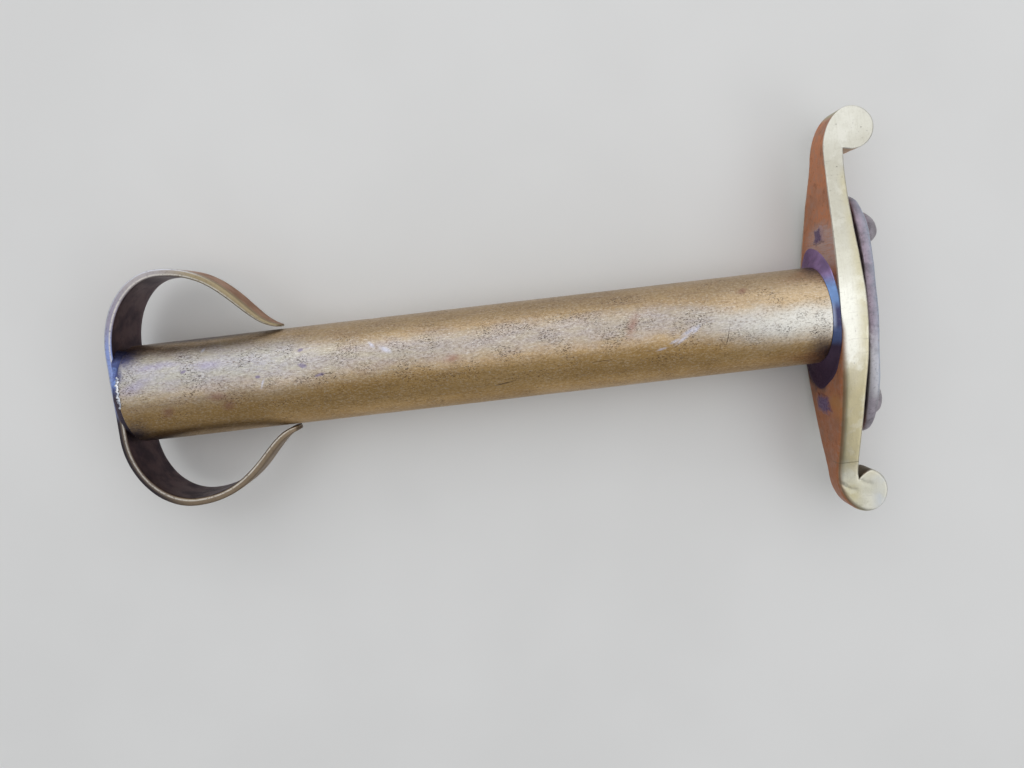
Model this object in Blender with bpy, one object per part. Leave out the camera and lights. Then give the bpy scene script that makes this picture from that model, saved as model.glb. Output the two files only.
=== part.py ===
"""Brass tube handle with a scrolled crossguard at one end and a sprung strap of two loops at the other.

The tube lies along X, with the strap at -X and the guard at +X. The guard runs along Y, and +Z is up.
Sizes are in metres. The origin is under the middle of the object, on the surface that it lies on.
"""

import math
from collections import namedtuple

import bmesh
import bpy
from mathutils import Vector

MM = 0.001

# Clearance between pieces that touch
FIT_GAP = 0.3 * MM

# Grip tube
TUBE_OUTSIDE = 19.0 * MM
TUBE_WALL = 1.4 * MM
TUBE_LENGTH = 133.7 * MM

# Plugs inside the tube
SPIGOT_LENGTH = 14.0 * MM
TENON_DIAMETER = 8.0 * MM
END_PLUG_LENGTH = 5.0 * MM

# Solder collar between the tube's root and the guard
COLLAR_HEIGHT = 1.1 * MM
COLLAR_SPREAD = 4.6 * MM  # past the tube along the guard
COLLAR_LIP = 0.2 * MM  # past the tube across the guard

# Crossguard
GUARD_SLIP = -1.0 * MM  # the guard's middle, along it from the tube's axis
GUARD_THICKNESS = 5.3 * MM
GUARD_WIDTH = 19.8 * MM  # at the middle
NECK_WIDTH = 5.0 * MM
UPPER_NECK = 3.5 * MM  # thickness there
LOWER_NECK = 4.0 * MM
UPPER_LEAN = 1.6 * MM  # how far the tube-side face leans outwards by the neck
LOWER_LEAN = 0.6 * MM
LEAN_POWER = 1.25  # 1 gives straight faces from middle to neck, 2 gives round ones
FLANK_POWER = 1.65  # the same for the flanks
ARM_RUN = 7.8 * MM  # from the plate's end to the neck
GUARD_EDGE = 0.5 * MM

# Scrolls at the guard's ends
UPPER_SCROLL = 4.25 * MM  # radius
LOWER_SCROLL = 4.05 * MM
UPPER_AXIS = 7.45 * MM  # out from the guard's tube-side face
LOWER_AXIS = 6.45 * MM
SCROLL_RISE = 0.5 * MM  # from the neck to the scroll's lowest point
UPPER_THROAT = 0.8 * MM  # depth of the notch where the roll comes back to the bar
LOWER_THROAT = 1.6 * MM
THROAT_WIDTH = 1.6 * MM

# Rivets
RIVET_SHANK = 4.2 * MM
RIVET_SETBACK = 0.5 * MM  # from the collar's edge to the tail's edge
RIVET_RAISE = 1.2 * MM  # above the tube's axis
HEAD_DIAMETER = 7.6 * MM
HEAD_HEIGHT = 3.3 * MM
TAIL_LENGTH = 3.8 * MM  # along the guard
TAIL_WIDTH = 5.2 * MM  # across the guard
TAIL_HEIGHT = 0.4 * MM
TAIL_SQUARENESS = 4.0

# Iron plate on the guard's outer face
PLATE_THICKNESS = 1.8 * MM
PLATE_WIDTH = 18.8 * MM
PLATE_END = 6.7 * MM  # from a rivet's axis to the plate's end
PLATE_SQUARENESS = 2.4
PLATE_EDGE = 0.5 * MM

# Strap of spring brass
STRAP_THICKNESS = 1.5 * MM
STRAP_WIDTH = 12.5 * MM
TIP_WIDTH = 5.0 * MM
TIP_THICKNESS = 0.8 * MM
STRAP_EDGE = 0.25 * MM
FLAT_LENGTH = 17.0 * MM  # flat middle of the strap
UPPER_RISE = 13.2 * MM  # from the tube to the top of the upper loop
LOWER_RISE = 12.6 * MM
UPPER_SETBACK = 10.6 * MM  # from the flat middle to the top of the upper loop
LOWER_SETBACK = 11.5 * MM
UPPER_REACH = 31.7 * MM  # from the flat middle to the upper tip
LOWER_REACH = 32.3 * MM
TIP_SLOPE = math.radians(8.0)
CROWN_HANDLE = 0.58  # how long the loop stays level past its top, as a share of its fall
TIP_HANDLE = 0.31  # how long the tip runs straight, as a share of the fall
SOLDER_THICKNESS = 0.7 * MM
SOLDER_SETBACK = 1.0 * MM  # solder pad inside the tube's outside

# Smoothness of round shapes
ROUND_STEPS = 48
RIVET_STEPS = 24
THROAT_STEPS = 16
DOME_STEPS = 5
ARM_STEPS = 12
SCROLL_STEPS = 10
LOOP_STEPS = 12
SCROLL_START = math.radians(-75.0)
SCROLL_END = math.radians(80.0)
SHARP_ANGLE = math.radians(35.0)

# Places along the tube's axis, from the guard's tube-side face
COLLAR_TOP = -FIT_GAP - COLLAR_HEIGHT
TUBE_ROOT = COLLAR_TOP - FIT_GAP
TUBE_END = TUBE_ROOT - TUBE_LENGTH
SOLDER_FACE = TUBE_END - FIT_GAP
SOLDER_BACK = SOLDER_FACE - SOLDER_THICKNESS
STRAP_FACE = SOLDER_BACK - FIT_GAP
STRAP_MIDDLE = STRAP_FACE - STRAP_THICKNESS / 2
STRAP_BACK = STRAP_FACE - STRAP_THICKNESS
PLATE_SEAT = GUARD_THICKNESS + FIT_GAP
PLATE_FACE = PLATE_SEAT + PLATE_THICKNESS
HEAD_SEAT = PLATE_FACE + FIT_GAP
HEAD_TOP = HEAD_SEAT + HEAD_HEIGHT

# Radii of the tube, and places along the strap and the guard, out from the middle of each
TUBE_RADIUS = TUBE_OUTSIDE / 2
BORE_RADIUS = TUBE_RADIUS - TUBE_WALL
HINGE_PLACE = FLAT_LENGTH / 2
COLLAR_REACH = TUBE_RADIUS + COLLAR_SPREAD
RIVET_PLACE = COLLAR_REACH + RIVET_SETBACK + TAIL_LENGTH / 2
PLATE_REACH = RIVET_PLACE + PLATE_END
PAD_REACH = RIVET_PLACE - HEAD_DIAMETER / 2 - FIT_GAP  # the plate's clear face between the rivet heads
NECK_PLACE = PLATE_REACH + ARM_RUN
SCROLL_FOOT = NECK_PLACE + SCROLL_RISE

# The guard's two arms
Arm = namedtuple("Arm", "name side neck lean axis scroll throat")
UPPER_ARM = Arm("upper", 1, UPPER_NECK, UPPER_LEAN, UPPER_AXIS, UPPER_SCROLL, UPPER_THROAT)
LOWER_ARM = Arm("lower", -1, LOWER_NECK, LOWER_LEAN, LOWER_AXIS, LOWER_SCROLL, LOWER_THROAT)
ARMS = (UPPER_ARM, LOWER_ARM)

# The strap's two loops
Loop = namedtuple("Loop", "name side rise setback reach")
LOOPS = (
    Loop("upper", 1, UPPER_RISE, UPPER_SETBACK, UPPER_REACH),
    Loop("lower", -1, LOWER_RISE, LOWER_SETBACK, LOWER_REACH),
)


def arm_end(arm):
    """How far a scroll's end lies from the guard's middle."""
    return SCROLL_FOOT + arm.scroll * (1 + math.sin(SCROLL_END))


# The whole object's box, about the tube's axis
LEFT_END = STRAP_BACK
RIGHT_END = max(HEAD_TOP, *(arm.axis + arm.scroll for arm in ARMS))
UPPER_END = GUARD_SLIP + arm_end(UPPER_ARM)
LOWER_END = GUARD_SLIP - arm_end(LOWER_ARM)
REST_HEIGHT = max(GUARD_WIDTH, TUBE_OUTSIDE + 2 * COLLAR_LIP, PLATE_WIDTH, STRAP_WIDTH) / 2


def clear_scene():
    for obj in list(bpy.data.objects):
        bpy.data.objects.remove(obj, do_unlink=True)


def make_material(name, colour, roughness, metallic):
    material = bpy.data.materials.new(name)
    material.use_nodes = True
    shader = material.node_tree.nodes["Principled BSDF"]
    shader.inputs["Base Color"].default_value = (*colour, 1.0)
    shader.inputs["Roughness"].default_value = roughness
    shader.inputs["Metallic"].default_value = metallic
    return material


def make_empty(name, place, parent=None):
    empty = bpy.data.objects.new(name, None)
    empty.location = place
    empty.parent = parent
    bpy.context.collection.objects.link(empty)
    return empty


def make_solid(name, shape, parent, material=None):
    mesh = bpy.data.meshes.new(name)
    shape.to_mesh(mesh)
    shape.free()
    mesh.shade_smooth()
    mesh.set_sharp_from_angle(angle=SHARP_ANGLE)
    if material:
        mesh.materials.append(material)
    solid = bpy.data.objects.new(name, mesh)
    solid.parent = parent
    bpy.context.collection.objects.link(solid)
    return solid


def cut(solid, name, shape):
    """Take the shape away from the solid with a hidden cutter."""
    cutter = make_solid(name, shape, solid.parent)
    cutter.hide_render = True
    cutter.display_type = "WIRE"
    modifier = solid.modifiers.new(name, "BOOLEAN")
    modifier.operation = "DIFFERENCE"
    modifier.solver = "EXACT"
    modifier.object = cutter


def loft(rings, around_bore=False):
    """A closed body through rings of equal length, capped at its ends or joined end to end round a bore."""
    shape = bmesh.new()
    loops = [[shape.verts.new(point) for point in ring] for ring in rings]
    pairs = list(zip(loops, loops[1:]))
    if around_bore:
        pairs.append((loops[-1], loops[0]))
    else:
        shape.faces.new(loops[0])
        shape.faces.new(loops[-1])
    for first, second in pairs:
        for i in range(len(first)):
            shape.faces.new((first[i - 1], first[i], second[i], second[i - 1]))
    bmesh.ops.recalc_face_normals(shape, faces=shape.faces)
    return shape


def signed_power(value, power):
    return math.copysign(abs(value) ** power, value)


def oval(x, half_y, half_z, squareness=2.0, y=0.0, z=0.0, steps=ROUND_STEPS):
    """A ring square to the tube's axis: squareness 2 is an ellipse, and more is squarer."""
    ring = []
    for i in range(steps):
        angle = 2 * math.pi * i / steps
        across = half_y * signed_power(math.cos(angle), 2 / squareness)
        up = half_z * signed_power(math.sin(angle), 2 / squareness)
        ring.append(Vector((x, y + across, z + up)))
    return ring


def circle(x, radius, **place):
    return oval(x, radius, radius, **place)


def eased_rectangle(half_a, half_b, edge):
    """Corners of a rectangle with its edges taken off, as pairs along its two sides."""
    a, b = half_a - edge, half_b - edge
    return [
        (half_a, -b), (half_a, b), (a, half_b), (-a, half_b),
        (-half_a, b), (-half_a, -b), (-a, -half_b), (a, -half_b),
    ]


def tube_shape():
    return loft(
        [
            circle(TUBE_END, TUBE_RADIUS),
            circle(TUBE_ROOT, TUBE_RADIUS),
            circle(TUBE_ROOT, BORE_RADIUS),
            circle(TUBE_END, BORE_RADIUS),
        ],
        around_bore=True,
    )


def spigot_shape():
    """Plug in the tube's guard end, with a tenon that ends flush with the guard's outer face."""
    plug = BORE_RADIUS - FIT_GAP
    tenon = TENON_DIAMETER / 2
    return loft(
        [
            circle(TUBE_ROOT - SPIGOT_LENGTH, plug),
            circle(TUBE_ROOT, plug),
            circle(TUBE_ROOT, tenon),
            circle(GUARD_THICKNESS, tenon),
        ]
    )


def end_plug_shape():
    plug = BORE_RADIUS - FIT_GAP
    return loft([circle(TUBE_END, plug), circle(TUBE_END + END_PLUG_LENGTH, plug)])


def collar_shape():
    """Fillet that spreads from the tube's round end to an oval on the guard's leaning face."""
    lip = TUBE_RADIUS + COLLAR_LIP
    bore = TENON_DIAMETER / 2 + FIT_GAP
    middle = (COLLAR_TOP - FIT_GAP) / 2
    halfway = (TUBE_RADIUS + COLLAR_REACH) / 2
    foot = oval(-FIT_GAP, COLLAR_REACH, lip, y=GUARD_SLIP)
    for point in foot:
        along = point.y - GUARD_SLIP
        point.x += guard_section(abs(along), UPPER_ARM if along > 0 else LOWER_ARM)[0]
    return loft(
        [
            circle(COLLAR_TOP, TUBE_RADIUS),
            oval(middle, halfway, lip, y=GUARD_SLIP / 2),
            foot,
            circle(-FIT_GAP, bore),
            circle(COLLAR_TOP, bore),
        ],
        around_bore=True,
    )


def guard_section(y, arm):
    """Tube-side face, outer face and half width of the guard's bar at a distance along one arm."""
    share = y / NECK_PLACE
    face = arm.lean * share**LEAN_POWER
    back = GUARD_THICKNESS + (arm.lean + arm.neck - GUARD_THICKNESS) * share**LEAN_POWER
    half_width = (NECK_WIDTH + (GUARD_WIDTH - NECK_WIDTH) * (1 - share**FLANK_POWER)) / 2
    return face, back, half_width


def arm_stations(arm):
    """Stations (place, face, back, half width) from the guard's middle out to the neck."""
    places = [NECK_PLACE * i / ARM_STEPS for i in range(ARM_STEPS + 1)]
    return [(y, *guard_section(y, arm)) for y in places]


def scroll_stations(arm):
    """Stations up one scroll, whose tube-side face runs over from the neck in a quarter oval."""
    neck_face, _, half_width = guard_section(NECK_PLACE, arm)
    climb = SCROLL_RISE + 2 * arm.scroll
    stations = []
    for i in range(SCROLL_STEPS + 1):
        angle = SCROLL_START + (SCROLL_END - SCROLL_START) * i / SCROLL_STEPS
        y = SCROLL_FOOT + arm.scroll * (1 + math.sin(angle))
        share = (y - NECK_PLACE) / climb
        face = neck_face + (arm.axis - neck_face) * (1 - math.sqrt(1 - share**2))
        back = arm.axis + arm.scroll * math.cos(angle)
        stations.append((y, face, back, half_width))
    return stations


def guard_ring(y, face, back, half_width):
    middle = (face + back) / 2
    corners = eased_rectangle((back - face) / 2, half_width, GUARD_EDGE)
    return [Vector((middle + a, y, b)) for a, b in corners]


def guard_shape():
    upper = arm_stations(UPPER_ARM) + scroll_stations(UPPER_ARM)
    lower = arm_stations(LOWER_ARM) + scroll_stations(LOWER_ARM)
    lower = [(-y, *rest) for y, *rest in reversed(lower[1:])]
    return loft([guard_ring(*station) for station in lower + upper])


def drill_shape(start, end, diameter, y=0.0, z=0.0):
    """Cutter along the tube's axis."""
    place = {"y": y, "z": z, "steps": RIVET_STEPS}
    return loft([circle(start, diameter / 2, **place), circle(end, diameter / 2, **place)])


def throat_shape(arm):
    """Oval cutter for the notch where a scroll's roll comes back to the bar."""
    x = guard_section(NECK_PLACE, arm)[1] + THROAT_WIDTH / 2
    outline = []
    for i in range(THROAT_STEPS):
        angle = 2 * math.pi * i / THROAT_STEPS
        depth = SCROLL_FOOT + arm.throat * math.sin(angle)
        outline.append((x + THROAT_WIDTH / 2 * math.cos(angle), arm.side * depth))
    return loft([[Vector((px, py, z)) for px, py in outline] for z in (-NECK_WIDTH, NECK_WIDTH)])


def make_guard(parent, material):
    guard = make_solid("crossguard", guard_shape(), parent, material)
    through = (-GUARD_THICKNESS, 2 * GUARD_THICKNESS)
    cut(guard, "tenon_hole", drill_shape(*through, TENON_DIAMETER + 2 * FIT_GAP, -GUARD_SLIP))
    for arm in ARMS:
        hole = drill_shape(*through, RIVET_SHANK + 2 * FIT_GAP, arm.side * RIVET_PLACE, RIVET_RAISE)
        cut(guard, f"{arm.name}_guard_hole", hole)
        cut(guard, f"{arm.name}_throat", throat_shape(arm))


def plate_shape():
    """Oval plate, with the clear pad between its rivet heads as a face of its own."""
    half_width = PLATE_WIDTH / 2
    shape = loft(
        [
            oval(PLATE_SEAT, PLATE_REACH, half_width, PLATE_SQUARENESS),
            oval(PLATE_FACE - PLATE_EDGE, PLATE_REACH, half_width, PLATE_SQUARENESS),
            oval(PLATE_FACE, PLATE_REACH - PLATE_EDGE, half_width - PLATE_EDGE, PLATE_SQUARENESS),
        ]
    )
    for arm in ARMS:
        whole = shape.verts[:] + shape.edges[:] + shape.faces[:]
        line = (0.0, arm.side * PAD_REACH, 0.0)
        bmesh.ops.bisect_plane(shape, geom=whole, plane_co=line, plane_no=(0.0, 1.0, 0.0))
    return shape


def make_plate(parent, material):
    plate = make_solid("guard_plate", plate_shape(), parent, material)
    ends = (PLATE_SEAT - PLATE_THICKNESS, PLATE_FACE + PLATE_THICKNESS)
    for arm in ARMS:
        hole = drill_shape(*ends, RIVET_SHANK + 2 * FIT_GAP, arm.side * RIVET_PLACE, RIVET_RAISE)
        cut(plate, f"{arm.name}_plate_hole", hole)


def rivet_shape(arm):
    """Hammered tail, shank and domed head along the tube's axis."""
    place = {"y": arm.side * RIVET_PLACE, "z": RIVET_RAISE, "steps": RIVET_STEPS}
    tail_seat = guard_section(RIVET_PLACE, arm)[0] - FIT_GAP
    tail = (TAIL_LENGTH / 2, TAIL_WIDTH / 2)
    hammered = (tail[0] - TAIL_HEIGHT, tail[1] - TAIL_HEIGHT)
    rings = [
        oval(tail_seat - TAIL_HEIGHT, *hammered, TAIL_SQUARENESS, **place),
        oval(tail_seat - TAIL_HEIGHT / 2, *tail, TAIL_SQUARENESS, **place),
        oval(tail_seat, *tail, TAIL_SQUARENESS, **place),
        circle(tail_seat, RIVET_SHANK / 2, **place),
        circle(HEAD_SEAT, RIVET_SHANK / 2, **place),
    ]
    for i in range(DOME_STEPS):
        angle = math.pi / 2 * i / DOME_STEPS
        x = HEAD_SEAT + HEAD_HEIGHT * math.sin(angle)
        rings.append(circle(x, HEAD_DIAMETER / 2 * math.cos(angle), **place))
    flat = HEAD_DIAMETER / 2 * math.cos(math.pi / 2 * (DOME_STEPS - 0.5) / DOME_STEPS)
    rings.append(circle(HEAD_TOP, flat, **place))
    return loft(rings)


def solder_shape():
    radius = TUBE_RADIUS - SOLDER_SETBACK
    return loft([circle(SOLDER_BACK, radius), circle(SOLDER_FACE, radius)])


def bridge_shape():
    end = HINGE_PLACE - FIT_GAP / 2
    corners = eased_rectangle(STRAP_THICKNESS / 2, STRAP_WIDTH / 2, STRAP_EDGE)
    return loft([[Vector((STRAP_MIDDLE + a, y, b)) for a, b in corners] for y in (-end, end)])


def bezier(points, share):
    """Point and direction on a cubic curve."""
    first, second, third, fourth = points
    rest = 1 - share
    point = rest**3 * first + 3 * rest**2 * share * second + 3 * rest * share**2 * third + share**3 * fourth
    way = rest**2 * (second - first) + 2 * rest * share * (third - second) + share**2 * (fourth - third)
    return point, way.normalized()


def loop_path(loop):
    """Points and directions of a loop's middle line, from the flat middle over the top to the tip."""
    crown = Vector((STRAP_MIDDLE + loop.setback, TUBE_RADIUS + loop.rise))
    climb = crown.y - HINGE_PLACE
    path = []
    for i in range(LOOP_STEPS):
        angle = math.pi / 2 * i / LOOP_STEPS
        point = crown - Vector((loop.setback * math.cos(angle), climb * (1 - math.sin(angle))))
        way = Vector((loop.setback * math.sin(angle), climb * math.cos(angle)))
        path.append((point, way.normalized()))
    tip_height = TUBE_RADIUS + FIT_GAP + TIP_THICKNESS / 2
    tip = Vector((STRAP_MIDDLE + loop.reach, tip_height))
    fall = tip.x - crown.x
    ahead = Vector((fall * CROWN_HANDLE, 0.0))
    behind = fall * TIP_HANDLE * Vector((math.cos(TIP_SLOPE), -math.sin(TIP_SLOPE)))
    curve = (crown, crown + ahead, tip - behind, tip)
    path += [bezier(curve, i / LOOP_STEPS) for i in range(LOOP_STEPS + 1)]
    path[0][0].y += FIT_GAP / 2
    return path


def arm_shape(loop, hinge):
    """Tapering strip along a loop, about its hinge."""
    path = loop_path(loop)
    rings = []
    for i, (point, way) in enumerate(path):
        share = i / (len(path) - 1)
        thin = (STRAP_THICKNESS + (TIP_THICKNESS - STRAP_THICKNESS) * share**3) / 2
        wide = (STRAP_WIDTH + (TIP_WIDTH - STRAP_WIDTH) * share) / 2
        ring = []
        for a, b in eased_rectangle(thin, wide, STRAP_EDGE):
            ring.append(Vector((point.x + a * way.y, loop.side * (point.y - a * way.x), b)) - hinge)
        rings.append(ring)
    return loft(rings)


def make_strap(parent, material):
    make_solid("strap_bridge", bridge_shape(), parent, material)
    for loop in LOOPS:
        place = Vector((STRAP_MIDDLE, loop.side * HINGE_PLACE, 0.0))
        hinge = make_empty(f"{loop.name}_hinge", place, parent)
        make_solid(f"{loop.name}_strap_arm", arm_shape(loop, place), hinge, material)


def main():
    clear_scene()
    brass = make_material("aged_brass", (0.46, 0.33, 0.15), 0.38, 1.0)
    worn_brass = make_material("worn_brass", (0.55, 0.44, 0.25), 0.34, 1.0)
    iron = make_material("dark_iron", (0.17, 0.15, 0.16), 0.55, 1.0)
    solder = make_material("tarnished_solder", (0.13, 0.10, 0.14), 0.40, 1.0)
    middle = Vector((LEFT_END + RIGHT_END, UPPER_END + LOWER_END, 0.0)) / 2
    handle = make_empty("handle", Vector((0.0, 0.0, REST_HEIGHT)) - middle)
    make_solid("grip_tube", tube_shape(), handle, brass)
    make_solid("seat_spigot", spigot_shape(), handle, brass)
    make_solid("end_plug", end_plug_shape(), handle, brass)
    make_solid("root_collar", collar_shape(), handle, solder)
    seat = make_empty("guard_seat", (0.0, GUARD_SLIP, 0.0), handle)
    make_guard(seat, worn_brass)
    make_plate(seat, iron)
    for arm in ARMS:
        make_solid(f"{arm.name}_rivet", rivet_shape(arm), seat, iron)
    make_solid("strap_solder", solder_shape(), handle, solder)
    make_strap(handle, brass)


main()
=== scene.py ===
"""Looks of a brass tube handle with a scrolled crossguard, an iron plate and a sprung strap.

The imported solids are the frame. Each piece that shows is modelled again here, worn and weathered, where its
solid lies. Sizes are in metres. Pieces are drawn about a working origin on the tube's axis, at the guard's
tube-side face: X runs along the tube towards the guard, Y along the guard and Z up.
"""

import math
import random
from collections import namedtuple
from functools import reduce

import bmesh
import bpy
import numpy as np
from mathutils import Matrix, Vector, noise
from mathutils.geometry import delaunay_2d_cdt


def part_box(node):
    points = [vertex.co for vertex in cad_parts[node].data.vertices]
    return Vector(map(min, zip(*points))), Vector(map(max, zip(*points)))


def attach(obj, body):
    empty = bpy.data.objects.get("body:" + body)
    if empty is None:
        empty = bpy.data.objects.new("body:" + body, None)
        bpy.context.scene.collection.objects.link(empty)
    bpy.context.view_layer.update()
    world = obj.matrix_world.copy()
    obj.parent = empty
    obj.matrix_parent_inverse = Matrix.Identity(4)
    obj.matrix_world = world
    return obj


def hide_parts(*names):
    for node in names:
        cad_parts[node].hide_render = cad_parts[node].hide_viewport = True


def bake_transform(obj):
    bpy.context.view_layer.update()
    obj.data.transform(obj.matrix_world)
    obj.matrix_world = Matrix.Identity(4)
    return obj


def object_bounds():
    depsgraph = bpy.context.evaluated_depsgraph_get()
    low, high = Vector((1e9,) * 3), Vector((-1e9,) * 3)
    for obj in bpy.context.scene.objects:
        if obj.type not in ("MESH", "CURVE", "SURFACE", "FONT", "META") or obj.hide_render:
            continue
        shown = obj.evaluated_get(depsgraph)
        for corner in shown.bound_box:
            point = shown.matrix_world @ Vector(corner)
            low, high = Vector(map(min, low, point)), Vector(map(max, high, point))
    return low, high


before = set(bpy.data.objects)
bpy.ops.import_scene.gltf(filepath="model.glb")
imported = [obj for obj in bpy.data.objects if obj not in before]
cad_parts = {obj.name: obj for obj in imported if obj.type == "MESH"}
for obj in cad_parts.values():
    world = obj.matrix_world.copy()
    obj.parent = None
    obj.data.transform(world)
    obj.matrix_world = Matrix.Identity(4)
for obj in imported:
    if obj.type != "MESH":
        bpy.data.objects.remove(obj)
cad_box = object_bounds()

MM = 0.001
CURVE_POINTS = 60
NOISE_SHIFT = Vector((7.3, 3.1, 5.7))  # of the noise, for each step of a piece's seed
SHARP_ANGLE = math.radians(50.0)  # between faces, above which their edge isn't smoothed

# Camera, at the photograph's viewing angle
CAMERA_PLACE = Vector((1.08, 10.91, 156.90)) * MM
CAMERA_PITCH = math.radians(-6.517)
CAMERA_ROLL = math.radians(-6.65)
PICTURE_WIDTH = 1024
FOCAL_PIXELS = 740.0
SENSOR_WIDTH = 36.0
CLIP_START = 0.001

# Lights, each with its place, size, power and colour, and all turned to the frame's origin
LIGHTS = (
    ("above", (0.05, 0.22, 0.64), (1.8, 1.10), 4.85, (0.97, 0.985, 1.0)),
    ("behind", (0.0, 0.95, 0.36), (1.8, 0.62), 2.6, (0.97, 0.985, 1.0)),
    ("fill", (0.65, -0.50, 0.58), (0.60, 0.50), 0.85, (1.0, 0.99, 0.97)),
)
SKY_COLOUR = (0.92, 0.95, 1.0, 1.0)
SKY_STRENGTH = 0.43
FLOOR_REACH = 2.5

# Tube
EDGE_ROUNDING = 0.2 * MM
ROOT_REACH = 0.45 * MM  # into the collar
TUBE_WALL = 1.4 * MM
TUBE_STEP = 0.5 * MM
TUBE_AROUND = 144
TUBE_WEAR = ((14.0 * MM, 0.05 * MM), (4.0 * MM, 0.012 * MM))  # sizes and depths of layers of noise
DENT_COUNT = 26
DENT_RADII = (1.2 * MM, 3.6 * MM)
DENT_DEPTHS = (0.02 * MM, 0.07 * MM)

# Solder collar
LOBE_LEANS = (3.6 * MM, 2.6 * MM)  # of its upper and lower lobe, to the far side
COLLAR_CLIMB = 0.1 * MM
COLLAR_BORE = 4.5 * MM
COLLAR_LIFT = 0.05 * MM  # off the tube's skin
COLLAR_SINK = 0.02 * MM  # into the guard's face, and its rim and bore more
RIM_SINK = 0.10 * MM
BORE_SET = 0.3 * MM  # of the bore's end below the fillet's, and of the lip between them
LIP_SET = 0.05 * MM
COLLAR_CURVE = 2.2
LOBE_POWER = 3
COLLAR_SWELL = 0.30 * MM
COLLAR_RAGGED = (0.35 * MM, 0.04 * MM)  # along and across the guard
COLLAR_AROUND = 160
COLLAR_WEAR = ((3.0 * MM, 0.08 * MM), (1.0 * MM, 0.02 * MM))

# Crossguard
GUARD_THICKNESS = 5.3 * MM
GUARD_WIDTH = 19.8 * MM
WEAR_MARGIN = 0.1 * MM  # left off each side for the wear
NECK_WIDTH = 5.0 * MM
NECK_PLACE = 31.0 * MM
NECK_EASES = (0.25 * MM, 0.95 * MM)
NECK_FADE = 4.0 * MM  # over which the bar's colours end at the neck
LEAN_POWER = 1.25
FLANK_POWER = 1.65
OUTLINE_STEP = 0.25 * MM
ROLL_POINTS = 90
INSIDE_STEP = 0.36 * MM
GRID_CLEARANCE = 0.6 * INSIDE_STEP
JOIN_GAP = 1e-5  # in millimetres
RING_KEPT = 0.93  # an edge's point that lies nearer the outline than this share of its depth is left out
WALL_ROWS = 28
EDGE_ANGLES = (25.0, 45.0, 65.0, 90.0)
CRISP_EDGE = 0.15 * MM
SCROLL_EDGE = 0.3 * MM
OUTER_EDGE = 0.4 * MM
SOFT_EDGE = 0.9 * MM
EDGE_WINDOW = 13  # points of the outline over which its edge radius is evened out
NOSE_WAY = (0.62, -0.78)  # in which a scroll's nose comes from its notch
WORN_FROM, WORN_OVER = 0.1, 0.7  # where the wear of a soft edge starts and how soon it is full, in edge radii
RIM_WIDTH = 1.1  # in edge radii
BORDER_WORN = 0.7
GUARD_WEAR = ((7.0 * MM, 0.10 * MM), (2.2 * MM, 0.035 * MM))

# An arm of the guard: side of the tube, neck and lean of its bar, hollow of the bar's outer face, place of
# its roll's axis out from the face, half sizes of the roll, end of the notch from that axis, angle where the
# nose starts, its two handles, and the radius of its edge on the tube's side
Arm = namedtuple("Arm", "side neck lean hollow axis roll notch turn nose edge")
UPPER_ARM = Arm(
    1, 3.8 * MM, 1.6 * MM, 0.9 * MM, 7.45 * MM, (4.25 * MM, 4.05 * MM), (-1.95 * MM, -3.7 * MM), -107.0,
    (0.2 * MM, 0.2 * MM), CRISP_EDGE,
)
LOWER_ARM = Arm(
    -1, 4.1 * MM, 0.6 * MM, 0.4 * MM, 6.45 * MM, (4.05 * MM, 4.33 * MM), (-1.6 * MM, -2.55 * MM), -75.0,
    (0.6 * MM, 1.1 * MM), SOFT_EDGE,
)

# Creases on the lower scroll, in millimetres: points from the working origin, half width and depth
SCROLL_CREASES = (
    (((1.2, -34.1), (2.0, -34.9), (3.1, -35.6), (4.1, -35.8)), 0.38, 0.13),
    (((5.0, -33.9), (6.0, -34.5), (7.0, -34.8)), 0.45, 0.08),
)

# Iron plate
PLATE_AROUND = 180
PLATE_SQUARENESS = 2.4
PLATE_RINGS = 22
PLATE_MIDDLE = 0.03  # share of the plate's size at the innermost ring
SEAT_SHARE, FACE_SHARE = 0.96, 0.95  # of the plate's size that lies flat
PLATE_SEAT = 0.25 * MM  # into the gap between plate and guard
SEAT_RIM = ((0.1 * MM, 0.985), (0.5 * MM, 1.0))  # distance from the seat and share of the plate's size
FACE_RIM = ((0.6 * MM, 1.0), (0.25 * MM, 0.992), (0.07 * MM, 0.975))  # the same from the face
RIM_DEPTH = 0.9 * MM  # of the bright rim, from the face
PLATE_WEAR = ((6.0 * MM, 0.16 * MM), (2.0 * MM, 0.07 * MM))

# A rivet as hammered: its tail's half sizes along and across the guard and its shift from the rivet's axis
# along and across, and its head's height as a share of the solid's
Rivet = namedtuple("Rivet", "name half_y half_z shift_y shift_z head seed")
RIVETS = (
    Rivet("upper_rivet", 1.8 * MM, 2.4 * MM, -0.2 * MM, -0.7 * MM, 1.12, 7),
    Rivet("lower_rivet", 2.1 * MM, 3.4 * MM, -0.7 * MM, -2.0 * MM, 0.90, 8),
)
TAIL_SQUARENESS = 3.2
TAIL_RAGGED = 0.30  # share of the tail's size

# Rings of a rivet's tail by their share of its half sizes and their rise in millimetres, and angles of its
# head's rings
TAIL_STEPS = ((0.1, 0.20), (0.5, 0.20), (0.8, 0.17), (0.92, 0.10), (1.0, 0.0), (1.0, -0.3))
HEAD_ANGLES = (4, 12, 20, 28, 36, 44, 52, 60, 68, 75, 81, 86)
HEAD_POWER = 1.1
SHANK_START = 2.0 * MM
SHANK_RADIUS = 2.1 * MM
HEAD_SINK = 0.05 * MM
RIVET_AROUND = 72
RIVET_WEAR = ((3.0 * MM, 0.26 * MM), (1.2 * MM, 0.07 * MM))

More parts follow.
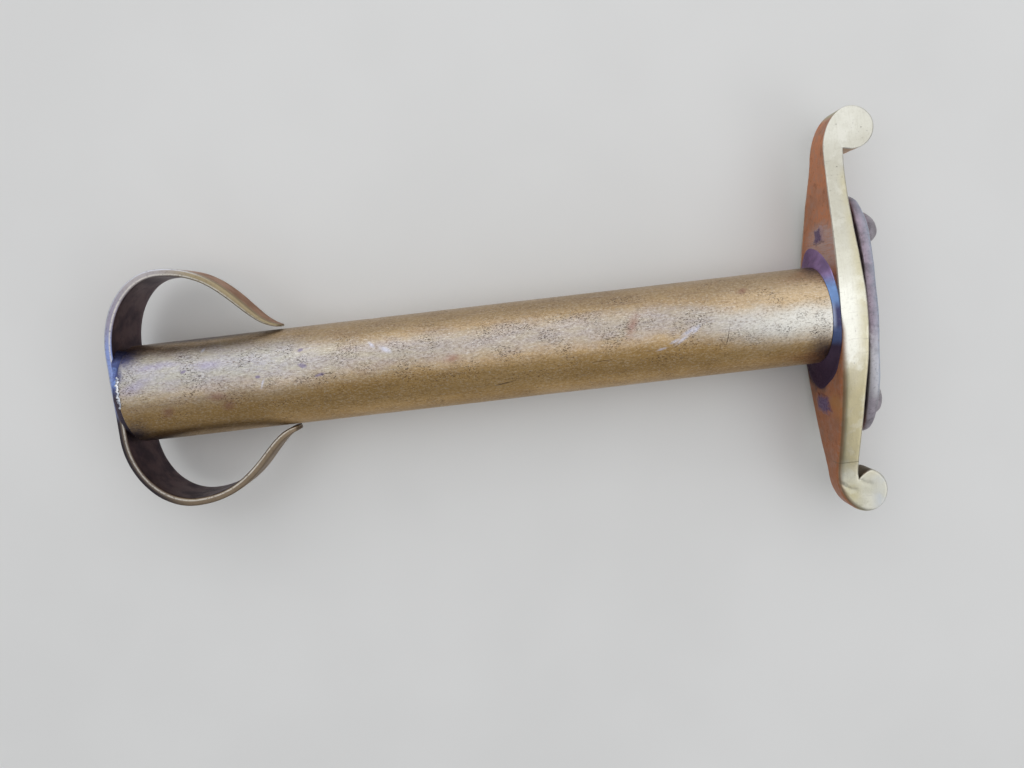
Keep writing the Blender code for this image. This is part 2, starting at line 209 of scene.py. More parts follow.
# Half of the strap with its loop: side of the tube, rise of the loop above it, setback of its crown and reach
# of its tip from the strap's flat, thickness of the tip, then the body and nodes that it stands for
Loop = namedtuple("Loop", "name side rise setback reach tip body nodes")
LOOPS = (
    Loop("upper_half", 1, 13.2 * MM, 10.6 * MM, 31.7 * MM, 0.65 * MM, "upper_clip",
         ("strap_bridge", "upper_strap_arm")),
    Loop("lower_half", -1, 12.6 * MM, 11.5 * MM, 32.3 * MM, 1.10 * MM, "lower_clip", ("lower_strap_arm",)),
)
TIP_HEIGHT = 0.7 * MM
TIP_SLOPE = math.radians(8.0)
TIP_WIDTH = 5.4 * MM
TIP_ROUNDING = 4.0 * MM
CROWN_HANDLE = 0.58
TIP_HANDLE = 0.31
STRAP_EDGE = 0.3 * MM
WORN_BAND = 2.2 * MM
WORN_ALONG = (0.45, 0.65)  # shares of the strap's length where its outside starts to be worn and is full
THINNING = 4  # power by which the strap thins towards its tip
TIP_SHARES = (0.75, 0.45)  # of the tip's thickness and width that are left at its very end
BEND_POINTS = 80
STRAP_STEP = 0.35 * MM
STRAP_WEAR = ((9.0 * MM, 0.10 * MM), (2.5 * MM, 0.03 * MM))

# Solder at the strap: the web between strap and tube, and the bead along the tube's end
WEB_ANGLE = math.radians(34.0)  # from Y, where it runs out over the tube
WEB_SPREAD = 0.31
WEB_OVERLAP = 0.05 * MM  # with the strap and with the tube's end
WEB_REACH = 1.2 * MM  # over the tube, and how far that varies
WEB_REACH_VARIES = 0.5 * MM
WEB_HEIGHT = 0.4 * MM  # above the tube's skin, and how far that varies
WEB_HEIGHT_VARIES = 0.3 * MM
WEB_LIFT = 0.03 * MM
WEB_INSET = 1.0 * MM  # from the tube's skin where it only fills the gap, and its hollow there
WEB_HOLLOW = 0.35 * MM
WEB_LUMPS = 0.12 * MM
WEB_AROUND = 160
WEB_WEAR = ((0.9 * MM, 0.07 * MM),)
BEAD_ENDS = (26.0, -11.0)  # degrees round the tube from its top
BEAD_THICKNESS = 0.14 * MM  # half of it, and how far that varies
BEAD_VARIES = 0.12 * MM
BEAD_LEAST = 0.03 * MM
BEAD_FLATNESS = 1.6
BEAD_LIFT = 0.05 * MM  # off the tube's skin
BEAD_SHIFT = 0.15 * MM  # from the tube's end, and how far it strays
BEAD_STRAY = 0.22 * MM
BEAD_FADE = 8.0  # rings over which it thins at its ends
BEAD_RINGS = 90
BEAD_AROUND = 14
BEAD_WEAR = ((0.5 * MM, 0.06 * MM),)

# Places that the frame gives, about the working origin
tube_low, tube_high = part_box("grip_tube")
guard_low, guard_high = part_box("crossguard")
ORIGIN = Vector((guard_low.x, (tube_low.y + tube_high.y) / 2, (tube_low.z + tube_high.z) / 2))
TUBE_RADIUS = (tube_high.z - tube_low.z) / 2
TUBE_END = tube_low.x - ORIGIN.x
TUBE_ROOT = tube_high.x - ORIGIN.x
bridge_low, bridge_high = (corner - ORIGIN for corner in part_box("strap_bridge"))
STRAP_MIDDLE = (bridge_low.x + bridge_high.x) / 2
STRAP_THICKNESS = bridge_high.x - bridge_low.x
STRAP_WIDTH = bridge_high.z - bridge_low.z
HINGE_PLACE = bridge_high.y
plate_low, plate_high = (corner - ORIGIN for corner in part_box("guard_plate"))
GUARD_MIDDLE = (plate_low.y + plate_high.y) / 2
PLATE_REACH = (plate_high.y - plate_low.y) / 2
PLATE_HALF_WIDTH = (plate_high.z - plate_low.z) / 2
collar_low, collar_high = (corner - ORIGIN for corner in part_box("root_collar"))
COLLAR_REACH = (collar_high.y - collar_low.y) / 2
COLLAR_HALF_WIDTH = (collar_high.z - collar_low.z) / 2


def bezier(corners, steps=24):
    """Points on a cubic curve, from its first corner to its last."""
    share = np.linspace(0.0, 1.0, steps)[:, None]
    rest = 1.0 - share
    first, second, third, fourth = (np.array(corner) for corner in corners)
    return rest**3 * first + 3 * rest**2 * share * second + 3 * rest * share**2 * third + share**3 * fourth


def even_steps(line, step):
    """The same line with its points at even distances."""
    gaps = np.linalg.norm(np.diff(line, axis=0), axis=1)
    along = np.concatenate(([0.0], np.cumsum(gaps)))
    places = np.linspace(0.0, along[-1], max(2, round(along[-1] / step) + 1))
    return np.column_stack([np.interp(places, along, line[:, i]) for i in range(line.shape[1])])


def full_turn(steps):
    """Even angles once round."""
    return np.linspace(0.0, 2 * math.pi, steps, endpoint=False)


def ragged_turn(angles, scale, seed):
    """Noise that closes on itself once round."""
    return np.array([noise.noise(Vector((math.cos(a), math.sin(a), seed)) * scale) for a in angles])


def oval_ring(x, half_y, half_z, squareness, steps, y=0.0, z=0.0):
    """A ring square to X: squareness 2 is an ellipse, and more is squarer."""
    angle = full_turn(steps)
    power = 2.0 / squareness
    across = half_y * np.sign(np.cos(angle)) * np.abs(np.cos(angle)) ** power
    up = half_z * np.sign(np.sin(angle)) * np.abs(np.sin(angle)) ** power
    return np.column_stack([np.full(steps, x), y + across, z + up])


def loft_faces(rings, size, around=False):
    """Faces between rings of equal size, capped at the ends or joined end to end."""
    faces = []
    for ring in range(rings if around else rings - 1):
        first, second = ring * size, (ring + 1) % rings * size
        for i in range(size):
            j = (i + 1) % size
            faces.append((first + i, first + j, second + j, second + i))
    if not around:
        faces.append(tuple(range(size)))
        faces.append(tuple(range((rings - 1) * size, rings * size)))
    return faces


def weathered(points, normals, layers, seed):
    """Points moved along their normals by layers of noise, each with a size and a depth."""
    shift = NOISE_SHIFT * seed
    moved = np.array(points)
    for i, (point, normal) in enumerate(zip(points, normals)):
        place = Vector(point)
        height = sum(depth * noise.noise(place / size + shift) for size, depth in layers)
        moved[i] = np.array(point) + np.array(normal) * height
    return moved


def dented(points, normals, dents):
    """Points pushed in by shallow dents, each with a place, a radius and a depth."""
    moved = np.array(points)
    for place, radius, depth in dents:
        near = np.linalg.norm(points - np.array(place), axis=1) / radius
        push = depth * np.clip(1.0 - near**2, 0.0, None) ** 2
        moved -= normals * push[:, None]
    return moved


def make_mesh(name, points, faces):
    """A mesh with its faces turned outwards."""
    mesh = bpy.data.meshes.new(name)
    mesh.from_pydata([tuple(point) for point in points], [], faces)
    shape = bmesh.new()
    shape.from_mesh(mesh)
    bmesh.ops.recalc_face_normals(shape, faces=shape.faces)
    shape.to_mesh(mesh)
    shape.free()
    return mesh


def ring_mesh(name, rings, around=False):
    return make_mesh(name, np.concatenate(rings), loft_faces(len(rings), len(rings[0]), around))


def wear_mesh(mesh, layers, dents=(), seed=1):
    """Noise and dents on a mesh, which then moves to its place in the frame, inside the solids' box."""
    points = np.array([vertex.co for vertex in mesh.vertices])
    normals = np.array([vertex.normal for vertex in mesh.vertices])
    points = dented(weathered(points, normals, layers, seed), normals, dents)
    points = np.clip(points + np.array(ORIGIN), np.array(cad_box[0]), np.array(cad_box[1]))
    mesh.vertices.foreach_set("co", points.astype(np.float32).ravel())
    mesh.update()


def paint(mesh, **values):
    """Named values on the mesh's points, for its material."""
    for name, numbers in values.items():
        layer = mesh.attributes.new(name, "FLOAT", "POINT")
        layer.data.foreach_set("value", np.asarray(numbers, dtype=np.float32))


def make_piece(mesh, material, slot, *nodes):
    """A piece of the scene that stands for nodes of the frame, if it stands for any."""
    mesh.shade_smooth()
    mesh.set_sharp_from_angle(angle=SHARP_ANGLE)
    mesh.materials.append(material)
    piece = bpy.data.objects.new(mesh.name, mesh)
    bpy.context.scene.collection.objects.link(piece)
    if nodes:
        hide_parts(*nodes)
    return piece


# Materials

class Value:
    """What a node gives out. Sums, differences, products and shares of values are nodes too."""

    def __init__(self, socket):
        self.socket = socket
        self.tree = socket.id_data

    def __add__(self, other):
        return maths("ADD", self, other)

    def __sub__(self, other):
        return maths("SUBTRACT", self, other)

    def __rsub__(self, other):
        return maths("SUBTRACT", other, self)

    def __mul__(self, other):
        return maths("MULTIPLY", self, other)

    def __truediv__(self, other):
        return maths("DIVIDE", self, other)

    def __abs__(self):
        return put(self.tree, "Math", {0: self}, operation="ABSOLUTE")


def feed(socket, value):
    """An input set to a number or colour, or linked to a value."""
    if isinstance(value, Value):
        socket.id_data.links.new(value.socket, socket)
    else:
        socket.default_value = value


def put(tree, kind, inputs, output=0, **settings):
    """What a new node with these settings and inputs gives out at one of its outputs."""
    node = tree.nodes.new("ShaderNode" + kind)
    for name, setting in settings.items():
        setattr(node, name, setting)
    for name, value in inputs.items():
        feed(node.inputs[name], value)
    return Value(node.outputs[output])


def maths(operation, first, second):
    """A working of two values, one of which may be a number."""
    tree = (first if isinstance(first, Value) else second).tree
    return put(tree, "Math", {0: first, 1: second}, operation=operation)


def larger(first, second):
    return maths("MAXIMUM", first, second)


def ease(value, low, high, start=0.0, end=1.0):
    """A smooth step from start to end, as the value goes from low to high."""
    inputs = {"Value": value, "From Min": low, "From Max": high, "To Min": start, "To Max": end}
    return put(value.tree, "MapRange", inputs, interpolation_type="SMOOTHSTEP")


def grain(place, scale, detail=3.0, roughness=0.55, stretch=None):
    """Noise with a number of features to the millimetre, drawn out along an axis where stretch is below 1."""
    if stretch:
        place = put(place.tree, "VectorMath", {0: place, 1: stretch}, operation="MULTIPLY")
    inputs = {"Vector": place, "Scale": scale, "Detail": detail, "Roughness": roughness}
    return put(place.tree, "TexNoise", inputs, "Fac")


def spots(place, scale, marks, cluster_scale, clusters):
    """Small marks that gather in clusters, each with the range over which its noise comes up."""
    small, large = grain(place, scale, 2.0, 0.5), grain(place, cluster_scale, 2.0, 0.5)
    return ease(small, *marks) * ease(large, *clusters)


def mix(share, first, second):
    """Colour between two colours."""
    inputs = {0: share}
    for socket, colour in ((6, first), (7, second)):
        inputs[socket] = colour if isinstance(colour, Value) else (*colour, 1.0)
    return put(share.tree, "Mix", inputs, 2, data_type="RGBA")


def lay(colour, *layers):
    """Colour with others laid over it in turn, each by its share."""
    for share, tint in layers:
        colour = mix(share, colour, tint)
    return colour


def new_material(name):
    """A material, and the place on the object in millimetres about the working origin."""
    material = bpy.data.materials.new(name)
    material.use_nodes = True
    tree = material.node_tree
    here = put(tree, "TexCoord", {}, "Object")
    local = put(tree, "VectorMath", {0: here, 1: ORIGIN}, operation="SUBTRACT")
    return material, put(tree, "VectorMath", {0: local, "Scale": 1.0 / MM}, operation="SCALE")


def axes_of(place):
    """A place's parts along X, Y and Z."""
    return [Value(output) for output in put(place.tree, "SeparateXYZ", {0: place}).socket.node.outputs]


def painted(place, *names):
    """Values that the mesh carries on its points."""
    return [put(place.tree, "Attribute", {}, "Fac", attribute_name=name) for name in names]


def oval_distance(place, middle, half_sizes, slant=0.0):
    """Distance from the middle of an oval, as a share of its half sizes."""
    inputs = {
        "Vector": place,
        "Location": middle,
        "Rotation": (0.0, 0.0, math.radians(slant)),
        "Scale": half_sizes,
    }
    inside = put(place.tree, "Mapping", inputs, vector_type="TEXTURE")
    return put(place.tree, "VectorMath", {0: inside}, "Value", operation="LENGTH")


def finish_material(material, colour, rough, metal, bumps=(), shine=(1.0, 1.0, 1.0)):
    """The material with its shader fed. A bump is a height between 0 and 1, and its depth in millimetres."""
    tree = material.node_tree
    surface = {}
    for height, depth in bumps:
        inputs = {"Height": height, "Distance": depth * MM, "Strength": 1.0, **surface}
        surface = {"Normal": put(tree, "Bump", inputs)}
    looks = {"Base Color": colour, "Roughness": rough, "Metallic": metal, "Specular Tint": (*shine, 1.0)}
    for name, value in {**looks, **surface}.items():
        feed(tree.nodes["Principled BSDF"].inputs[name], value)
    return material


# Marks on the tube: where their edges start and end to fade, then for each mark its place along the tube,
# place round it from the top, half length, half width and slant
CRISP_MARK = (1.5, 0.9)
SOFT_MARK = (2.1, 0.5)
PURPLE_SPOTS = (
    (-100.9, 5.5, 0.9, 0.6, 20.0), (-100.6, 2.4, 1.5, 0.7, -20.0), (-97.5, 0.3, 1.6, 0.5, 10.0),
    (-122.9, 3.8, 1.0, 0.5, 15.0), (-109.0, 1.2, 0.9, 0.5, 0.0),
)
PALE_SMEARS = (
    (-29.6, -1.0, 1.9, 0.40, 32.0), (-28.2, 0.3, 2.0, 0.50, 25.0), (-26.9, 0.6, 1.2, 0.40, 40.0),
    (-31.0, -1.2, 1.2, 0.35, 18.0), (-33.6, -2.4, 1.0, 0.25, 12.0),
    (-108.3, -0.1, 1.0, 0.22, 65.0), (-87.5, 4.9, 0.8, 0.35, -50.0), (-84.9, 3.6, 1.3, 0.50, -30.0),
    (-119.6, 8.3, 0.7, 0.35, 70.0),
)
RED_STAINS = (
    (-38.6, 2.7, 2.6, 1.0, 63.0), (-72.7, 0.5, 1.6, 0.8, 5.0), (-17.0, 7.3, 1.2, 0.7, 30.0),
    (-126.9, -3.7, 1.5, 1.1, 40.0), (-117.2, -1.6, 2.0, 0.9, 0.0), (-115.4, -3.6, 1.3, 1.1, 30.0),
)
DARK_LINES = ((-21.1, -1.5, 2.8, 0.14, 78.0), (-63.7, -5.9, 3.4, 0.26, 10.0), (-45.0, -3.4, 3.6, 0.10, 2.0))
LAVENDER_PATCHES = ((-131.8, 2.2, 3.2, 1.3, 24.0), (-128.5, 5.6, 4.6, 0.9, 4.0), (-118.0, 4.6, 3.0, 1.0, 0.0))
BLUE_PATCHES = ((-134.6, 8.0, 2.6, 2.6, -20.0), (-135.2, 4.6, 0.9, 2.2, 0.0))
# Dark tarnish, partly painted shadow along the top edge by the strap and at the root by the collar
TARNISH_AND_SHADOW = (
    (-134.5, 10.5, 4.0, 3.0, 0.0), (-122.0, 13.4, 15.0, 2.0, 0.0), (-134.8, -8.4, 3.0, 4.4, -25.0),
    (-133.5, -12.0, 7.0, 3.0, 0.0), (-2.0, -7.4, 3.6, 5.0, 20.0),
    (-2.0, 13.0, 2.6, 4.0, 0.0),
)
PIT_PATCHES = (
    (-114.8, -2.4, 7.0, 2.6, 0.0), (-98.0, -0.5, 8.0, 2.0, 4.0), (-62.0, 4.8, 9.0, 2.2, 0.0),
    (-50.0, 6.0, 8.0, 2.0, 0.0), (-40.0, 8.8, 7.0, 2.0, 0.0), (-75.0, -3.0, 9.0, 1.6, 0.0),
    (-126.0, -4.2, 6.0, 2.4, 0.0), (-105.0, -4.4, 9.0, 2.0, 0.0), (-58.0, -4.6, 12.0, 2.0, 0.0),
    (-33.0, -4.4, 9.0, 1.8, 0.0), (-4.2, -2.4, 2.6, 1.2, 0.0),
)

# The marks' colours and strengths, in the order that they lie over each other
TUBE_MARKS = (
    (TARNISH_AND_SHADOW, (0.058, 0.050, 0.066), 0.92, SOFT_MARK),
    (BLUE_PATCHES, (0.065, 0.072, 0.18), 0.9, SOFT_MARK),
    (PURPLE_SPOTS, (0.20, 0.165, 0.27), 0.75, CRISP_MARK),
    (RED_STAINS, (0.30, 0.145, 0.115), 0.6, SOFT_MARK),
    (DARK_LINES, (0.07, 0.045, 0.035), 0.75, CRISP_MARK),
    (PALE_SMEARS, (0.66, 0.68, 0.82), 0.66, SOFT_MARK),
)

# Colours of the tube; where there are two, the material clouds from one to the other
GOLDEN_BRASS = ((0.50, 0.315, 0.122), (0.40, 0.244, 0.085))
BROWN_STREAK = (0.23, 0.135, 0.058)
# Pale film that carries a painted highlight band: by the strap, between, and by the guard
FILM_AND_HIGHLIGHT_BY_STRAP = ((0.460, 0.450, 0.405), (0.445, 0.435, 0.470))
FILM_AND_HIGHLIGHT_BETWEEN = ((0.430, 0.410, 0.375), (0.410, 0.400, 0.430))
FILM_AND_HIGHLIGHT_BY_GUARD = (0.73, 0.715, 0.66)
DARK_GRAIN = (0.20, 0.135, 0.080)
PALE_GRAIN = (0.68, 0.61, 0.50)
LAVENDER_FILM = (0.36, 0.325, 0.46)
DARK_SPECK = (0.17, 0.130, 0.105)
PALE_SPECK = (0.80, 0.77, 0.73)
TUBE_PIT = (0.075, 0.046, 0.040)


def drawn_marks(skin, marks, ragged, edge=CRISP_MARK):
    """Share of ovals with ragged edges, at the given places on the tube's skin."""
    shares = []
    for x, arc, half_length, half_width, slant in marks:
        far = oval_distance(skin, (x, arc, 0.0), (half_length, half_width, 1.0), slant)
        shares.append(ease(far + ragged, *edge))
    return reduce(larger, shares)


def film_and_highlight_band(x, arc, ragged):
    """Share of a pale film that carries a painted highlight band: broad on the upper side by the strap, then
    narrower, and on top by the guard, with some painted light over the upper side.
    """
    by_strap, by_guard = ease(x, -86.0, -112.0), ease(x, -38.0, -7.0)
    middle = ease(by_strap, 0.0, 1.0, 3.1, 4.4) + ease(by_guard, 0.0, 1.0, 0.0, -3.3)
    off = (abs(arc - middle) + ragged) / ease(by_strap, 0.0, 1.0, 2.9, 4.4)
    film_and_highlight = ease(off, 2.1, 0.15) * ease(larger(by_strap, by_guard), 0.0, 1.0, 0.72, 0.94)
    return larger(film_and_highlight, ease(arc, -2.5, 4.0, 0.0, 0.25))


def film_and_highlight_tint(x, veil):
    """Colour of the film and painted highlight along the tube."""
    clouded = ease(veil, 0.35, 0.65)
    tint = mix(ease(x, -65.0, -90.0), mix(clouded, *FILM_AND_HIGHLIGHT_BETWEEN), mix(clouded, *FILM_AND_HIGHLIGHT_BY_STRAP))
    return mix(ease(x, -30.0, -5.0), tint, FILM_AND_HIGHLIGHT_BY_GUARD)


def tube_specks(place, film_and_highlight):
    """Layers of fine dark and pale specks, thickest on the film and painted highlight band."""
    speck = grain(place, 4.4, 3.0, 0.6, (0.35, 1.0, 1.0))
    gathered = ease(grain(place, 0.5, 3.0, 0.6), 0.35, 0.65, 0.45, 1.0) * ease(film_and_highlight, 0.0, 0.8, 0.45, 1.0)
    return (
        (ease(speck, 0.47, 0.33, 0.0, 0.50) * gathered, DARK_SPECK),
        (ease(speck, 0.53, 0.68, 0.0, 0.42) * gathered, PALE_SPECK),
    )


def tube_pits(place, skin, ragged):
    """Share of pits, close in patches and sparse elsewhere."""
    sparse = ease(grain(place, 0.2, 3.0), 0.46, 0.64, 0.0, 0.75)
    pits = ease(grain(place, 4.8, 3.0, 0.6, (0.55, 1.0, 1.0)), 0.56, 0.64)
    return pits * larger(drawn_marks(skin, PIT_PATCHES, ragged), sparse)


def tube_brass():
    """Aged brass: golden and brown clouds, lengthwise streaks, a pale film with a painted highlight band,
    clustered pits and old marks, some with painted shadow.
    """
    material, place = new_material("aged_brass")
    x, y, z = axes_of(place)
    arc = maths("ARCTAN2", y, z) * (TUBE_RADIUS / MM)
    skin = put(place.tree, "CombineXYZ", {"X": x, "Y": arc})
    cloud = grain(place, 0.16, 4.0, 0.6, (0.4, 1.0, 1.0))
    streak = grain(place, 2.6, 4.0, 0.6, (0.05, 1.0, 1.0))
    fine = grain(place, 2.8, 4.0, 0.75, (0.7, 1.0, 1.0))
    patchy = grain(place, 0.45, 6.0, 0.7, (0.5, 1.0, 1.0))
    veil = grain(place, 0.55, 5.0, 0.7, (0.3, 1.0, 1.0))
    ragged = grain(place, 1.8, 5.0, 0.75) * 1.3
    film_and_highlight = film_and_highlight_band(x, arc, (patchy - 0.5) * 3.4)
    pits = tube_pits(place, skin, ragged)
    colour = lay(
        mix(ease(cloud, 0.35, 0.68), *GOLDEN_BRASS),
        (ease(streak, 0.50, 0.78, 0.0, 0.45), BROWN_STREAK),
        (film_and_highlight, film_and_highlight_tint(x, veil)),
        (ease(fine, 0.36, 0.50, 1.0, 0.0) * ease(veil, 0.35, 0.62, 0.2, 0.6), DARK_GRAIN),
        (ease(fine, 0.51, 0.66, 0.0, 0.34), PALE_GRAIN),
        (drawn_marks(skin, LAVENDER_PATCHES, ragged, SOFT_MARK) * 0.65, LAVENDER_FILM),
        *tube_specks(place, film_and_highlight),
        (pits * 0.72, TUBE_PIT),
    )
    for marks, tint, strength, edge in TUBE_MARKS:
        colour = mix(drawn_marks(skin, marks, ragged, edge) * strength, colour, tint)
    rough = ease(cloud, 0.3, 0.7, 0.34, 0.44) + pits * 0.3
    bumps = ((streak, 0.010), (fine, 0.020), (1.0 - pits, 0.06))
    return finish_material(material, colour, rough, 1.0, bumps)


# Colours along the guard, from its lower end to its upper end; on the sides a near-white painted highlight
# lies about the middle
SIDE_COLOURS_AND_LIGHT = (
    (-41.0, (0.50, 0.485, 0.395)), (-33.0, (0.57, 0.55, 0.45)), (-29.5, (0.55, 0.485, 0.305)),
    (-16.0, (0.50, 0.44, 0.28)), (-10.5, (0.62, 0.57, 0.425)), (-7.5, (0.88, 0.86, 0.76)),
    (3.0, (0.90, 0.88, 0.78)), (9.0, (0.68, 0.655, 0.55)), (16.0, (0.56, 0.535, 0.445)),
    (28.0, (0.53, 0.505, 0.42)), (34.0, (0.66, 0.64, 0.555)), (41.0, (0.69, 0.67, 0.585)),
)
# The faces' coppery brown is partly tarnish and partly a painted warm reflection
FACE_COLOURS = (
    (-41.0, (0.41, 0.165, 0.075)), (-15.0, (0.49, 0.200, 0.095)), (5.0, (0.58, 0.245, 0.120)),
    (40.0, (0.63, 0.265, 0.130)),
)

# Colours of the guard's worn sides
YELLOW_SIDE = (0.56, 0.50, 0.31)
SIDE_SCRATCH = (0.40, 0.36, 0.27)
SIDE_NICK = (0.30, 0.27, 0.22)
SIDE_GRAIN = (0.36, 0.33, 0.26)
POLISHED_SIDE = (0.88, 0.86, 0.78)
# Painted shade towards the tube on the lower arm's sides
OLIVE_EDGE_SHADE = (0.40, 0.36, 0.235)
SHADED_SIDE = (0.23, 0.195, 0.11)
YELLOW_ROLL = (0.50, 0.455, 0.29)
GREY_ROLL = (0.54, 0.55, 0.545)

# Colours of the guard's coppery faces
COPPER_CLOUD = (0.29, 0.135, 0.080)
COPPER_SCRATCH = (0.25, 0.120, 0.075)
COPPER_GRAIN = (0.60, 0.34, 0.22)
PALE_BLOTCH = (0.44, 0.27, 0.21)
DARK_BLOTCH = (0.30, 0.115, 0.055)
ORANGE_HEAT = (0.56, 0.26, 0.075)
# A dark stain with painted shade round the collar's lower lobe
COLLAR_STAIN_AND_SHADE = (0.085, 0.048, 0.050)
FILED_BRASS = (0.56, 0.44, 0.43)
SCROLL_FACE = (0.44, 0.40, 0.26)
NOTCH_SHADE = (0.13, 0.10, 0.06)

# Colours of the guard's edges and small marks
# Painted shade on the lower arm's soft edge
SEAM_SHADE = (0.20, 0.155, 0.085)
BRIGHT_RIM = (0.74, 0.72, 0.65)
# Painted shade along the crease at the lower arm's neck
CREASE_SHADE = (0.16, 0.14, 0.09)
GUARD_PIT = (0.13, 0.10, 0.08)

# A patch's middle and half sizes, along and across the guard, and a depth that takes in the whole guard
FILED_PATCH = ((12.8, 3.0), (5.4, 9.4))
FACE_DEPTH = 100.0

# Where a heat mark lies on the tube-side face, how far down the guard a line of painted shade runs across its
# side at the neck's crease, and how far the colours stray along the guard
HEAT_PLACE = (1.2, -17.5, 4.5)
LINE_DROP = 29.7
COLOUR_STRAY = 12.0


def along_guard(y, cloud, colours):
    """Colour from a list of places along the guard, which cloud over into each other."""
    low, high = colours[0][0], colours[-1][0]
    stray = y + (cloud - 0.5) * COLOUR_STRAY
    share = put(y.tree, "MapRange", {"Value": stray, "From Min": low, "From Max": high})
    colour = put(y.tree, "ValToRGB", {0: share})
    elements = colour.socket.node.color_ramp.elements
    while len(elements) < len(colours):
        elements.new(0.5)
    for element, (place, tint) in zip(elements, colours):
        element.position = (place - low) / (high - low)
        element.color = (*tint, 1.0)
    return colour


def ragged_patch(place, middle, half_sizes, ragged, outside, inside):
    """Share of an oval patch on the guard's faces, with a ragged edge between two shares of its size."""
    far = oval_distance(place, (0.0, *middle), (FACE_DEPTH, *half_sizes)) + (ragged - 0.5) * 0.4
    return ease(far, outside, inside, 0.0, 0.85)


def collar_stain_and_shade(place, ragged):
    """Share of a dark stain with painted shade, which fades out round the lower lobe of the solder collar."""
    middle = (GUARD_MIDDLE / MM, -LOBE_LEANS[1] / MM)
    half_sizes = (COLLAR_REACH / MM, COLLAR_HALF_WIDTH / MM)
    return ragged_patch(place, middle, half_sizes, ragged, 1.12, 0.96)


def filed_patch(place, ragged):
    """Share of file strokes across the face, at the upper rivet's tail and beside the collar's upper lobe."""
    strokes = grain(place, 4.2, 4.0, 0.7, (1.0, 1.0, 0.08))
    return ragged_patch(place, *FILED_PATCH, ragged, 1.15, 0.55) * ease(strokes, 0.34, 0.64, 0.4, 1.0)


def worn_side(place, outer, cloud, fine, scratch):
    """Colour of the guard's sides: polished pale, with painted shade towards the tube on the lower arm, and
    its roll.
    """
    x, y, _ = axes_of(place)
    nicks = grain(place, 2.2, 3.0, 0.6, (0.12, 1.0, 1.0))
    painted_edge_shade = ease(outer, 0.60, 0.15) * ease(y, -9.0, -14.0) * ease(y, -31.0, -28.0, 0.0, 0.6)
    shade = ease(outer, 0.34, 0.02, 0.0, 0.8) * ease(y, -9.0, -13.0) * ease(y, -31.0, -28.0)
    roll = ease(y, -32.0, -35.0) * ease(cloud, 0.40, 0.60, 0.3, 1.0)
    return lay(
        along_guard(y, cloud, SIDE_COLOURS_AND_LIGHT),
        (ease(outer, 0.40, 0.90) * ease(cloud, 0.35, 0.6, 0.40, 0.9), YELLOW_SIDE),
        (ease(scratch, 0.50, 0.75, 0.0, 0.20), SIDE_SCRATCH),
        (ease(nicks, 0.62, 0.72, 0.0, 0.30), SIDE_NICK),
        (ease(fine, 0.34, 0.50, 0.14, 0.0), SIDE_GRAIN),
        (ease(cloud, 0.50, 0.62, 0.0, 0.25), POLISHED_SIDE),
        (painted_edge_shade, OLIVE_EDGE_SHADE),
        (shade, SHADED_SIDE),
        (roll * ease(x, 6.0, 3.5), YELLOW_ROLL),
        (roll * ease(x, 6.5, 9.0), GREY_ROLL),
    )


def coppery_face(place, cloud, fine, scratch):
    """Colour of the guard's faces: copper, with a heat mark, a stain with painted shade, a filed patch and
    painted shade in the notch.
    """
    x, y, _ = axes_of(place)
    blotch = grain(place, 0.7, 4.0, 0.65)
    heat = put(place.tree, "VectorMath", {0: place, 1: HEAT_PLACE}, "Value", operation="DISTANCE")
    scrolled = ease(abs(y), 30.0, 32.0) * ease(x, 3.5, 5.0)
    notch = scrolled * ease(y, -36.5, -35.0) * ease(y, 1.0, -1.0)
    return lay(
        along_guard(y, cloud, FACE_COLOURS),
        (ease(cloud, 0.56, 0.36, 0.0, 0.45), COPPER_CLOUD),
        (ease(scratch, 0.45, 0.70, 0.0, 0.25), COPPER_SCRATCH),
        (ease(fine, 0.52, 0.70, 0.0, 0.28), COPPER_GRAIN),
        (ease(blotch, 0.50, 0.62, 0.0, 0.45), PALE_BLOTCH),
        (ease(blotch, 0.44, 0.34, 0.0, 0.5), DARK_BLOTCH),
        (ease(heat + (cloud - 0.5) * 5.0, 3.8, 0.8, 0.0, 0.7), ORANGE_HEAT),
        (collar_stain_and_shade(place, cloud) * ease(y, -3.0, -8.0), COLLAR_STAIN_AND_SHADE),
        (filed_patch(place, cloud), FILED_BRASS),
        (scrolled, SCROLL_FACE),
        (notch, NOTCH_SHADE),
    )


def guard_brass():
    """Cast brass: pale and polished by wear on its sides and edges, with painted highlight and shade there,
    and coppery brown on its faces, partly a painted reflection.
    """
    material, place = new_material("worn_brass")
    _, y, z = axes_of(place)
    worn, outer, rim = painted(place, "worn", "outer", "rim")
    cloud = grain(place, 0.25, 5.0, 0.6)
    fine = grain(place, 2.4, 4.0, 0.65)
    scratch = grain(place, 3.0, 3.0, 0.6, (1.0, 0.10, 1.0))
    pits = spots(place, 2.0, (0.69, 0.76), 0.2, (0.45, 0.6))
    # Painted shade where the lower arm's soft edge rounds from its side to its face
    seam_shade = ease(worn, 0.10, 0.35) * ease(worn, 0.80, 0.45) * ease(y, -8.0, -13.0, 0.0, 0.55)
    # Painted shade along the crease at the lower arm's neck
    line = ease(abs(y + LINE_DROP), 0.16, 0.04, 0.0, 0.6) * ease(z, 0.5, 1.5)
    face, side = coppery_face(place, cloud, fine, scratch), worn_side(place, outer, cloud, fine, scratch)
    colour = lay(
        mix(worn, face, side),
        (seam_shade, SEAM_SHADE),
        (rim * ease(fine, 0.35, 0.6, 0.2, 0.7), BRIGHT_RIM),
        (line, CREASE_SHADE),
        (pits * 0.35, GUARD_PIT),
    )
    rough = ease(worn, 0.0, 1.0, 0.45, 0.34) + ease(cloud, 0.3, 0.7, -0.04, 0.08)
    bumps = ((fine, 0.022), (scratch, 0.012), (1.0 - pits, 0.05))
    return finish_material(material, colour, rough, 1.0, bumps)


